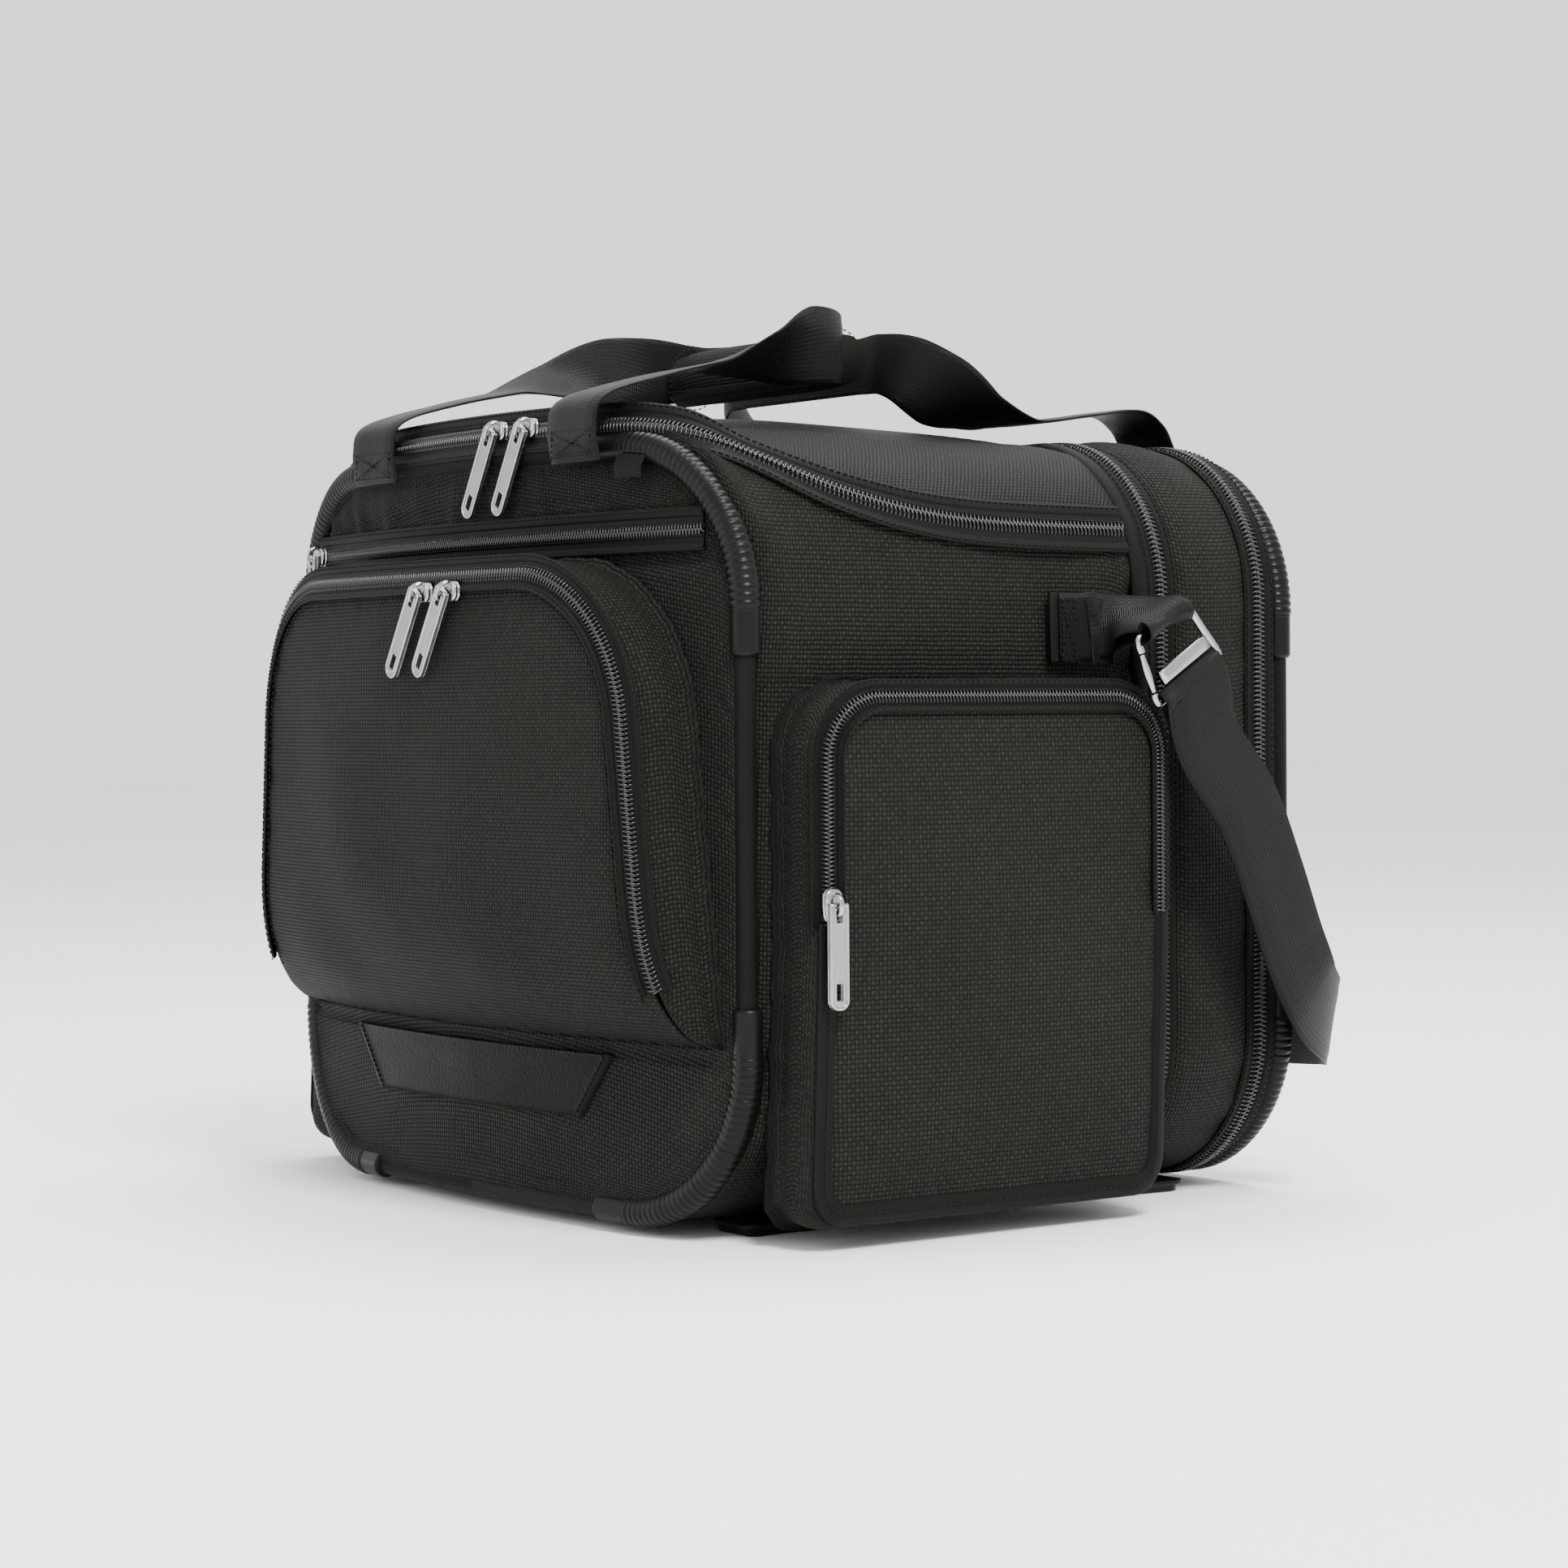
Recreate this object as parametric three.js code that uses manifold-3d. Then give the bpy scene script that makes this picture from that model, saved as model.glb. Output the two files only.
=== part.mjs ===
// Pilot's flight bag: soft-sided case with a zipped lid, a front pocket, two side pockets,
// an expanding rear compartment, two webbing handles and a clip-on shoulder strap.
// Millimetres, +Z up. X is the bag's width and the front faces -Y.
import * as THREE from 'three';
import { mergeVertices } from 'three/addons/utils/BufferGeometryUtils.js';
import Module from 'manifold-3d';

const wasm = await Module();
wasm.setup();

// ---------- driving dimensions ----------
const GAP = 0.3;                       // between pieces that touch
const BEYOND = 320;                    // past the bag on every side, for cutting solids
const WALL = 4;                        // padded fabric wall
const HALF_WIDTH = 188;                // main body, half its width
const BODY_DEPTH = 209;                // main compartment, front to rear ring
const BODY_LOW = 6;                    // underside of the body above the surface it stands on
const BODY_HIGH = 345;                 // top of the side walls' rounded corners
const CROWN = 14;                      // how far the lid domes above BODY_HIGH
const BODY_CORNER = 66;                // corner radius of the body seen from the front
const PLAN_CORNER = 24;                // vertical front corners seen from above

const FRONT_SAG = 20;                  // how far the front bows out at its middle
const RING_HALF = HALF_WIDTH + 2;      // front and rear edge rings, half width
const RING_LOW = 4;
const RING_HIGH = BODY_HIGH - 2;
const RING_CORNER = 75;
const PIPING_R = 4.5;
const BUMPER_R = 7;
const BUMPER_LEG = 97;                 // bumper length along each edge from the corner
const PANEL_T = 3;
const SLIP_DEPTH = 1.2;                // flat slip pocket behind the front panel

const ZIP_T = 1.8;                     // tape and coil thickness
const ZIP_HALF = 7;                    // half the width of a closed main zip
const LID_BACK_Z = BODY_HIGH - 5;       // top of the lid where it meets the rear ring

const POCKET_PROUD = 36;               // front pocket, face in front of the panel
const POCKET_LOW = 84;
const POCKET_BELOW_SLIP = 11;          // pocket's top under the slip pocket's zip
const POCKET_IN_LOW = 14;              // pocket's edge inside the body, at its bottom and top
const POCKET_IN_HIGH = 28;
const POCKET_CORNER = 72;
const POCKET_HINGE_Z = 104;            // bottom edge of its opening flap

const SIDE_FRONT = 14;                 // side pocket from front to rear edge
const SIDE_REAR = BODY_DEPTH - 1;
const SIDE_LOW = 9;
const SIDE_HIGH = 236;
const SIDE_CORNER = 30;
const SIDE_PROUD = 28;
const SIDE_HINGE_Z = 132;
const SIDE_RIM = 13;                   // zip and binding round the side flap

const REAR_HIGH = BODY_HIGH - 2;       // rear section, top
const REAR_CORNER = 70;
const EXPANDER_FRONT = BODY_DEPTH + 10; // expansion zip in the front edge of the rear section
const EXPANDER_REAR = EXPANDER_FRONT + 13;
const GUSSET_PUFF = 5;                 // the rear gusset bulges this far
const REAR_ZIP_Y = EXPANDER_REAR + 48; // zip of the rear compartment
const REAR_ZIP_WIDE = 9;
const REAR_Y = REAR_ZIP_Y + 23;        // outside of the rear cover

const WEB_T = 2;                       // webbing thickness
const HANDLE_WEB = 38;
const STRAP_WEB = 38;
const HANDLE_RIGHT_X = 96;             // middle of each handle leg
const HANDLE_LEFT_X = -76;
const GRIP_Y = 136;
const GRIP_Z = BODY_HIGH + 40;
const GRIP_R = 15;
const GRIP_HALF = 66;
const REAR_GRIP_GAP = 3;               // between the two handles where they meet

const STRAP_PIVOT_Y = BODY_DEPTH - 19; // where the strap loops leave the sides
const STRAP_PIVOT_Z = 262;
const STRAP_X = HALF_WIDTH + SIDE_PROUD + 8; // plane of the clips
const CLIP_WIDE = 46;                  // lower bar, which the strap goes round
const CLIP_UPPER = 36;                 // upper bar, in the loop
const CLIP_TALL = 36;
const CLIP_BAR = 4;
const CLIP_TURN = 32;                  // degrees that the clip leans back as it hangs

const FOOT_WIDE = 30;
const FOOT_LONG = 48;
const FOOT_X = HALF_WIDTH - 46;
const FOOT_FRONT_Y = 44;
const FOOT_REAR_Y = BODY_DEPTH + 35;

const PULL_LONG = 43;
const PULL_WIDE = 9.5;
const PULL_T = 1.8;

// ---------- colours ----------
const material = (color, roughness, metalness = 0) =>
  new THREE.MeshStandardMaterial({ color, roughness, metalness });
const NYLON = material(0x20201c, 0.85);
const LINING = material(0x2a2a2c, 0.8);
const ZIP = material(0x141414, 0.6);
const RUBBER = material(0x1b1b1b, 0.45);
const PIPING = material(0x1c1c1a, 0.8);
const WEBBING = material(0x24241f, 0.6);
const LEATHER = material(0x161512, 0.5);
const BOARD = material(0x303030, 0.7);
const PLASTIC = material(0x151515, 0.5);
const SILVER = material(0xc9c9c6, 0.3, 1);

// ---------- solids ----------
function toSolid(geometry) {
  const bare = geometry.clone();
  bare.deleteAttribute('normal');
  bare.deleteAttribute('uv');
  const merged = mergeVertices(bare, 1e-4);
  const mesh = new wasm.Mesh({
    numProp: 3,
    vertProperties: new Float32Array(merged.attributes.position.array),
    triVerts: new Uint32Array(merged.index.array),
  });
  return new wasm.Manifold(mesh);
}

function toGeometry(solid) {
  const mesh = solid.getMesh();
  const geometry = new THREE.BufferGeometry();
  geometry.setAttribute('position', new THREE.BufferAttribute(mesh.vertProperties, 3));
  geometry.setIndex(new THREE.BufferAttribute(mesh.triVerts, 1));
  return geometry;
}

function box(x0, x1, y0, y1, z0, z1) {
  const geometry = new THREE.BoxGeometry(x1 - x0, y1 - y0, z1 - z0);
  return toSolid(geometry.translate((x0 + x1) / 2, (y0 + y1) / 2, (z0 + z1) / 2));
}

const extrude = (shape, depth, curveSegments) =>
  new THREE.ExtrudeGeometry(shape, { depth, bevelEnabled: false, curveSegments });

// A shape drawn in X and Z, made solid from y0 to y1.
function prismY(shape, y0, y1, curveSegments = 5) {
  return toSolid(extrude(shape, y1 - y0, curveSegments).rotateX(Math.PI / 2).translate(0, y1, 0));
}

// A shape drawn in X and Y, made solid from z0 to z1.
function prismZ(shape, z0, z1, curveSegments = 5) {
  return toSolid(extrude(shape, z1 - z0, curveSegments).translate(0, 0, z0));
}

// A shape drawn in Y and Z, made solid from x0 to x1.
function prismX(shape, x0, x1, curveSegments = 5) {
  const turn = new THREE.Matrix4().makeBasis(
    new THREE.Vector3(0, 1, 0),
    new THREE.Vector3(0, 0, 1),
    new THREE.Vector3(1, 0, 0),
  );
  return toSolid(extrude(shape, x1 - x0, curveSegments).applyMatrix4(turn).translate(x0, 0, 0));
}

// Rectangle with separate corner radii below and above; crown bows the top edge up.
function roundedRect(left, right, low, high, lowR, highR, crown = 0) {
  const shape = new THREE.Shape();
  shape.moveTo(left + lowR, low);
  shape.lineTo(right - lowR, low);
  shape.absarc(right - lowR, low + lowR, lowR, -Math.PI / 2, 0, false);
  shape.lineTo(right, high - highR);
  shape.absarc(right - highR, high - highR, highR, 0, Math.PI / 2, false);
  if (crown > 0) {
    shape.quadraticCurveTo((left + right) / 2, high + 2 * crown, left + highR, high);
  }
  shape.absarc(left + highR, high - highR, highR, Math.PI / 2, Math.PI, false);
  shape.lineTo(left, low + lowR);
  shape.absarc(left + lowR, low + lowR, lowR, Math.PI, Math.PI * 1.5, false);
  return shape;
}

// Closed skin through rings of points; loop joins the last ring to the first.
function loft(rings, loop = false) {
  const count = rings[0].length;
  const positions = rings.flat().flatMap((p) => [p.x, p.y, p.z]);
  const index = [];
  const spans = loop ? rings.length : rings.length - 1;
  for (let i = 0; i < spans; i += 1) {
    const next = (i + 1) % rings.length;
    for (let j = 0; j < count; j += 1) {
      const k = (j + 1) % count;
      const [a, b, c, d] = [i * count + j, i * count + k, next * count + k, next * count + j];
      index.push(a, b, c, a, c, d);
    }
  }
  if (!loop) {
    const last = (rings.length - 1) * count;
    for (let j = 1; j < count - 1; j += 1) {
      index.push(0, j + 1, j);
      index.push(last, last + j, last + j + 1);
    }
  }
  const geometry = new THREE.BufferGeometry();
  geometry.setAttribute('position', new THREE.Float32BufferAttribute(positions, 3));
  geometry.setIndex(index);
  return toSolid(geometry);
}

// Round tube through points; outward(i) gives a vector that is never along the path.
function tube(points, radius, sides, loop, outward) {
  const rings = points.map((point, i) => {
    const before = points[loop ? (i + points.length - 1) % points.length : Math.max(i - 1, 0)];
    const after = points[loop ? (i + 1) % points.length : Math.min(i + 1, points.length - 1)];
    const along = after.clone().sub(before).normalize();
    const across = outward(i).clone().cross(along).normalize();
    const up = along.clone().cross(across);
    return Array.from({ length: sides }, (_, j) => {
      const angle = (2 * Math.PI * j) / sides;
      return point.clone()
        .addScaledVector(across, radius * Math.cos(angle))
        .addScaledVector(up, radius * Math.sin(angle));
    });
  });
  return loft(rings, loop);
}

// Flat strap through stations [x, y, z, wx, wy, wz]: w is the direction of its width.
function strap(stations, width, thickness) {
  const points = stations.map(([x, y, z]) => new THREE.Vector3(x, y, z));
  const rings = stations.map(([, , , wx, wy, wz], i) => {
    const before = points[Math.max(i - 1, 0)];
    const after = points[Math.min(i + 1, points.length - 1)];
    const along = after.clone().sub(before).normalize();
    const wide = new THREE.Vector3(wx, wy, wz);
    wide.addScaledVector(along, -wide.dot(along)).normalize();
    const thick = along.clone().cross(wide);
    return [[1, 1], [-1, 1], [-1, -1], [1, -1]].map(([a, b]) => points[i].clone()
      .addScaledVector(wide, (a * width) / 2)
      .addScaledVector(thick, (b * thickness) / 2));
  });
  return loft(rings);
}

// ---------- the bowed front ----------
const FRONT_R = (HALF_WIDTH ** 2 + FRONT_SAG ** 2) / (2 * FRONT_SAG);
const FRONT_CENTRE_Y = FRONT_R - FRONT_SAG;
const frontY = (x, proud = 0) => FRONT_CENTRE_Y - Math.sqrt((FRONT_R + proud) ** 2 - x ** 2);

// Curved slab between two distances in front of the panel's face.
function frontSlab(near, far) {
  const reach = 1.15 * Math.asin(RING_HALF / FRONT_R);
  const shape = new THREE.Shape();
  const [a, b] = [-Math.PI / 2 - reach, -Math.PI / 2 + reach];
  shape.absarc(0, FRONT_CENTRE_Y, FRONT_R + far, a, b, false);
  shape.absarc(0, FRONT_CENTRE_Y, FRONT_R + near, b, a, true);
  return prismZ(shape, -40, BODY_HIGH + 95, 8);
}

// ---------- body and lid ----------
const BODY_PROUD = -(PANEL_T + SLIP_DEPTH);   // face of the body's front wall

function bodyPlan(grow) {
  const half = HALF_WIDTH + grow;
  const shape = new THREE.Shape();
  const turnX = half - PLAN_CORNER;
  const turnY = frontY(turnX, BODY_PROUD + grow);
  shape.moveTo(half, BODY_DEPTH);
  shape.lineTo(-half, BODY_DEPTH);
  shape.lineTo(-half, turnY + PLAN_CORNER);
  shape.quadraticCurveTo(-half, turnY, -turnX, turnY);
  const angle = Math.asin(turnX / (FRONT_R + BODY_PROUD + grow));
  const radius = FRONT_R + BODY_PROUD + grow;
  shape.absarc(0, FRONT_CENTRE_Y, radius, -Math.PI / 2 - angle, -Math.PI / 2 + angle, false);
  shape.quadraticCurveTo(half, turnY, half, turnY + PLAN_CORNER);
  return shape;
}

// Side view of the main part: level in front, domed on top and lower at the rear ring.
function bodyProfile(grow) {
  const low = BODY_LOW - grow;
  const front = frontY(0, BODY_PROUD + grow) - 1;
  const shape = new THREE.Shape();
  shape.moveTo(front, low);
  shape.lineTo(BODY_DEPTH, low);
  shape.lineTo(BODY_DEPTH, LID_BACK_Z + grow);
  const top = BODY_HIGH + CROWN + grow;
  shape.bezierCurveTo(BODY_DEPTH - 50, top + 2, 60, top + 4, front, top - CROWN / 2);
  return shape;
}

function bodySolid(grow) {
  const half = HALF_WIDTH + grow;
  const outline = roundedRect(
    -half, half, BODY_LOW - grow, BODY_HIGH + grow,
    BODY_CORNER + grow, BODY_CORNER + grow, CROWN,
  );
  return prismY(outline, -FRONT_SAG - 20, BODY_DEPTH)
    .intersect(prismZ(bodyPlan(grow), BODY_LOW - 20, BODY_HIGH + 60))
    .intersect(prismX(bodyProfile(grow), -half - 1, half + 1));
}

// Line of the main zip in the side view, from the front top edge back to the rear ring.
const ZIP_LINE = new THREE.SplineCurve([
  new THREE.Vector2(-40, BODY_HIGH + 4),
  new THREE.Vector2(-8, BODY_HIGH + 1),
  new THREE.Vector2(20, BODY_HIGH - 14),
  new THREE.Vector2(60, BODY_HIGH - 30),
  new THREE.Vector2(120, BODY_HIGH - 40),
  new THREE.Vector2(BODY_DEPTH + 21, BODY_HIGH - 42),
]);

// Everything between two heights above the zip line.
function alongZip(low, high) {
  const points = ZIP_LINE.getPoints(18);
  const upper = points.map((p) => new THREE.Vector2(p.x, p.y + high)).reverse();
  const lower = points.map((p) => new THREE.Vector2(p.x, p.y + low));
  return prismX(new THREE.Shape([...lower, ...upper]), -BEYOND, BEYOND);
}

const aboveZip = alongZip(GAP / 2, 120);
const belowZip = alongZip(-400, -GAP / 2);
const hollow = bodySolid(-WALL).add(box(
  -HALF_WIDTH + WALL, HALF_WIDTH - WALL, BODY_DEPTH - 20, BODY_DEPTH + 1, BODY_LOW + BODY_CORNER,
  LID_BACK_Z - BODY_CORNER,
));
const shell = bodySolid(0).subtract(hollow);
const LID_HINGE_GAP = 1;               // between the lid's rear edge and the rear ring
const clearOfRing = box(-BEYOND, BEYOND, -60, BODY_DEPTH - LID_HINGE_GAP, 0, 2 * BEYOND);
const bodyShell = shell.intersect(belowZip);
const lidShell = shell.intersect(aboveZip).intersect(clearOfRing);
const skin = bodySolid(GAP + ZIP_T).subtract(bodySolid(GAP));
const bodyZip = skin.intersect(alongZip(-ZIP_HALF, -GAP / 2)).intersect(clearOfRing);
const lidZip = skin.intersect(alongZip(GAP / 2, ZIP_HALF)).intersect(clearOfRing);

// ---------- front panel, piping and bumpers ----------
const RING_INSET = BUMPER_R - 1;       // ring's outer edge to the piping's centre line
const ringShape = (inset) => roundedRect(
  -RING_HALF + inset, RING_HALF - inset, RING_LOW + inset, RING_HIGH - inset,
  RING_CORNER - inset, RING_CORNER - inset,
);
const PANEL_CLEAR = 1.2;               // panel's edge to the piping
const PANEL_INSET = RING_INSET + PIPING_R + PANEL_CLEAR;
const PIPING_BACK = 1;                 // piping's centre behind the middle of the panel
const panelSolid = (grow) => prismY(ringShape(PANEL_INSET - grow), -60, 60)
  .intersect(frontSlab(-PANEL_T - grow, grow));

// Points round an edge ring; depthAt(x) is how far forward or back it stands.
function ringPoints(depthAt) {
  const half = RING_HALF - RING_INSET;
  const low = RING_LOW + RING_INSET;
  const high = RING_HIGH - RING_INSET;
  const r = RING_CORNER - RING_INSET;
  const points = [];
  const corners = [
    [half - r, low + r, -Math.PI / 2],
    [half - r, high - r, 0],
    [-half + r, high - r, Math.PI / 2],
    [-half + r, low + r, Math.PI],
  ];
  const steps = 5;
  for (const [cx, cz, start] of corners) {
    for (let i = 0; i <= steps; i += 1) {
      const angle = start + (i * Math.PI) / 2 / steps;
      points.push([cx + r * Math.cos(angle), cz + r * Math.sin(angle)]);
    }
    const [lastX, lastZ] = points.at(-1);
    const alongX = Math.abs(lastZ - high) < 1 || Math.abs(lastZ - low) < 1;
    const run = alongX ? 2 * (half - r) : high - low - 2 * r;
    const pieces = alongX ? 4 : 2;
    const turn = start + Math.PI;
    for (let i = 1; i < pieces; i += 1) {
      const step = (run * i) / pieces;
      points.push([lastX + step * Math.cos(turn), lastZ + step * Math.sin(turn)]);
    }
  }
  return points.map(([x, z]) => new THREE.Vector3(x, depthAt(x), z));
}

const ALONG_Y = new THREE.Vector3(0, 1, 0);
const PIPING_SIDES = 6;
const ring = (points, radius) => tube(points, radius, PIPING_SIDES, true, () => ALONG_Y);

// Four corner sleeves over the piping, each cut from a ring by the corner it covers.
function bumpers(points, cut) {
  const sleeve = ring(points, BUMPER_R).subtract(ring(points, PIPING_R + GAP)).subtract(cut);
  const result = {};
  for (const [name, sideX, sideZ] of [
    ['top_right', 1, 1], ['top_left', -1, 1], ['bottom_right', 1, -1], ['bottom_left', -1, -1],
  ]) {
    const x = sideX * (RING_HALF + 5);
    const z = sideZ > 0 ? RING_HIGH + 5 : RING_LOW - 5;
    const reach = BUMPER_LEG + 5;
    const corner = box(
      Math.min(x, x - sideX * reach), Math.max(x, x - sideX * reach), -60, REAR_Y + 40,
      Math.min(z, z - sideZ * reach), Math.max(z, z - sideZ * reach),
    );
    result[name] = sleeve.intersect(corner);
  }
  return result;
}

const frontRing = ringPoints((x) => frontY(x) + PANEL_T / 2 + PIPING_BACK);
const bodyClear = bodySolid(GAP + ZIP_T + GAP);
const frontPiping = ring(frontRing, PIPING_R).subtract(bodyClear);
// The sleeve is open behind, where the piping lies against the body.
const behindRing = prismY(ringShape(RING_INSET), -60, 60)
  .intersect(frontSlab(-3 * BUMPER_R, -PANEL_T / 2 - 1));
const PANEL_SLOT = 1.9;                 // room for the panel's edge in the sleeve
const frontBumpers = bumpers(frontRing, behindRing.add(panelSolid(PANEL_SLOT)).add(bodyClear));

// ---------- slip pocket zip and leather patch ----------
const SLIP_Z = RING_HIGH - 43;
const SLIP_HALF = RING_HALF - 2 * BUMPER_R - 10;
const SLIP_WIDE = 13;
const slipZip = prismY(
  roundedRect(-SLIP_HALF, SLIP_HALF, SLIP_Z - SLIP_WIDE / 2, SLIP_Z + SLIP_WIDE / 2, 2, 2), -60, 60,
).intersect(frontSlab(GAP, GAP + ZIP_T));

const patchShape = new THREE.Shape([
  new THREE.Vector2(-90, 48), new THREE.Vector2(86, 48),
  new THREE.Vector2(108, 77), new THREE.Vector2(-117, 77),
]);
const PATCH_T = 1.5;
const leatherPatch = prismY(patchShape, -60, 60).intersect(frontSlab(GAP, GAP + PATCH_T));

// ---------- front pocket ----------
const POCKET_HIGH = SLIP_Z - POCKET_BELOW_SLIP;
const POCKET_HALF_LOW = HALF_WIDTH - POCKET_IN_LOW;
const POCKET_HALF_HIGH = HALF_WIDTH - POCKET_IN_HIGH;
function pocketShape(inset, low) {
  const shape = new THREE.Shape();
  const rise = (low - POCKET_LOW) / (POCKET_HIGH - POCKET_CORNER - POCKET_LOW);
  const halfLow = POCKET_HALF_LOW + (POCKET_HALF_HIGH - POCKET_HALF_LOW) * rise - inset;
  const half = POCKET_HALF_HIGH - inset;
  const top = POCKET_HIGH - inset;
  const shoulder = POCKET_HIGH - POCKET_CORNER;
  const topX = half - POCKET_CORNER + inset;
  const bend = 0.55 * (POCKET_CORNER - inset);
  shape.moveTo(-halfLow, low);
  shape.lineTo(halfLow, low);
  shape.lineTo(half, shoulder);
  shape.bezierCurveTo(half - 2, shoulder + bend, topX + bend, top, topX, top);
  shape.lineTo(-topX, top);
  shape.bezierCurveTo(-topX - bend, top, -half + 2, shoulder + bend, -half, shoulder);
  return shape;
}
const POCKET_WALL = 4;
const POCKET_RIM = 9;                  // zip band round the flap
const FLAP_GAP = 2;
const FLAP_T = 5;
const pocketPrism = (inset, low) => prismY(pocketShape(inset, low), -90, 60, 6);
const pocketBase = pocketPrism(0, POCKET_LOW)
  .intersect(frontSlab(GAP, POCKET_PROUD - FLAP_T + 1))
  .subtract(pocketPrism(POCKET_WALL, POCKET_HINGE_Z)
    .intersect(frontSlab(-1, POCKET_PROUD)))
  .subtract(pocketPrism(POCKET_WALL, POCKET_LOW + POCKET_WALL)
    .intersect(frontSlab(-1, POCKET_PROUD - FLAP_T - 2)));
const pocketZip = pocketPrism(1, POCKET_HINGE_Z)
  .subtract(pocketPrism(POCKET_RIM, POCKET_LOW))
  .intersect(frontSlab(POCKET_PROUD - FLAP_T + 1 + GAP, POCKET_PROUD - FLAP_T + 1 + GAP + ZIP_T));
const pocketFlap = pocketPrism(POCKET_RIM + FLAP_GAP, POCKET_HINGE_Z + GAP)
  .intersect(frontSlab(POCKET_PROUD - FLAP_T, POCKET_PROUD));

// ---------- side pockets (built on the right, mirrored to the left) ----------
const sideShape = (inset, low = SIDE_LOW + inset) => roundedRect(
  SIDE_FRONT + inset, SIDE_REAR - inset, low, SIDE_HIGH - inset,
  Math.min(12, SIDE_CORNER), SIDE_CORNER - inset / 2,
);
const SIDE_FACE = HALF_WIDTH + SIDE_PROUD;
const SIDE_FACE_T = 3;
const SIDE_FLAP_T = 4;
const sideBase = prismX(sideShape(0), HALF_WIDTH + GAP, SIDE_FACE)
  .subtract(prismX(sideShape(SIDE_FACE_T), HALF_WIDTH + GAP + SIDE_FACE_T, SIDE_FACE - SIDE_FLAP_T))
  .subtract(prismX(sideShape(SIDE_RIM, SIDE_HINGE_Z), HALF_WIDTH + 2 * SIDE_FACE_T, SIDE_FACE + 1));
const sideFlap = prismX(
  sideShape(SIDE_RIM + 1, SIDE_HINGE_Z + GAP), SIDE_FACE - SIDE_FLAP_T + 1, SIDE_FACE + 1,
);

// ---------- rear section ----------
// Its underside stays level where the sides bulge.
const rearShape = (inset) => roundedRect(
  -HALF_WIDTH + inset, HALF_WIDTH - inset, BODY_LOW + Math.max(inset, 0), REAR_HIGH - inset,
  REAR_CORNER - inset, REAR_CORNER - inset,
);
const band = (grow, y0, y1) => prismY(rearShape(-grow), y0, y1, 3);
const tubeBand = (grow, wall, y0, y1) => band(grow, y0, y1).subtract(band(grow - wall, y0 - 1, y1 + 1));
const rearWallY = BODY_DEPTH + GAP + 1;
const rearGusset = tubeBand(0, WALL, BODY_DEPTH + GAP, EXPANDER_FRONT + 1)
  .add(tubeBand(2, WALL + 2, EXPANDER_FRONT, EXPANDER_REAR))
  .add(tubeBand(0, WALL, EXPANDER_REAR - 1, EXPANDER_REAR + 5))
  .add(tubeBand(GUSSET_PUFF, WALL + GUSSET_PUFF, EXPANDER_REAR + 4, REAR_ZIP_Y - 8))
  .add(tubeBand(0, WALL, REAR_ZIP_Y - 9, REAR_ZIP_Y - GAP));
const REAR_WALL_T = 3;
const rearWall = band(-WALL - GAP, rearWallY, rearWallY + REAR_WALL_T);
const rearZip = tubeBand(2, 6, REAR_ZIP_Y, REAR_ZIP_Y + REAR_ZIP_WIDE);
const REAR_COVER_FRONT = REAR_ZIP_Y + REAR_ZIP_WIDE + GAP;
const rearRing = ringPoints(() => REAR_Y - PANEL_T / 2);
const COVER_RIM_REAR = REAR_Y - PANEL_T / 2 - PIPING_R - PANEL_CLEAR;
const coverSolid = (grow) => band(grow, REAR_COVER_FRONT - grow, COVER_RIM_REAR + grow)
  .add(prismY(ringShape(PANEL_INSET - grow), COVER_RIM_REAR - 1, REAR_Y + grow));
const rearCover = coverSolid(0)
  .subtract(band(-PANEL_INSET - WALL, REAR_COVER_FRONT - 1, REAR_Y - WALL));
const rearPiping = ring(rearRing, PIPING_R);
const insideRearRing = prismY(
  ringShape(RING_INSET), REAR_COVER_FRONT, REAR_Y - PANEL_T / 2 - PIPING_BACK,
);
const rearBumpers = bumpers(rearRing, coverSolid(PANEL_SLOT).add(insideRearRing));

// ---------- base board and feet ----------
const BOARD_T = 2.5;
const BOARD_HALF = HALF_WIDTH - BODY_CORNER + 20;
const boardZ = BODY_LOW + WALL + GAP + (BODY_CORNER - WALL)
  - Math.sqrt((BODY_CORNER - WALL) ** 2 - 20 ** 2);
const baseBoard = box(-BOARD_HALF, BOARD_HALF, 4, BODY_DEPTH - 2, boardZ, boardZ + BOARD_T);

function footSolid(x, y) {
  const step = 4;
  const low = box(
    x - FOOT_WIDE / 2 + step, x + FOOT_WIDE / 2 - step,
    y - FOOT_LONG / 2 + step, y + FOOT_LONG / 2 - step, 0, BODY_LOW / 2 + 0.5,
  );
  const high = box(
    x - FOOT_WIDE / 2, x + FOOT_WIDE / 2, y - FOOT_LONG / 2, y + FOOT_LONG / 2,
    BODY_LOW / 2, BODY_LOW - GAP,
  );
  // the outer end follows the body's rounded lower corner
  return low.add(high).subtract(prismY(roundedRect(
    -HALF_WIDTH - GAP, HALF_WIDTH + GAP, BODY_LOW - GAP, BODY_HIGH, BODY_CORNER, BODY_CORNER,
  ), -60, REAR_Y));
}

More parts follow.
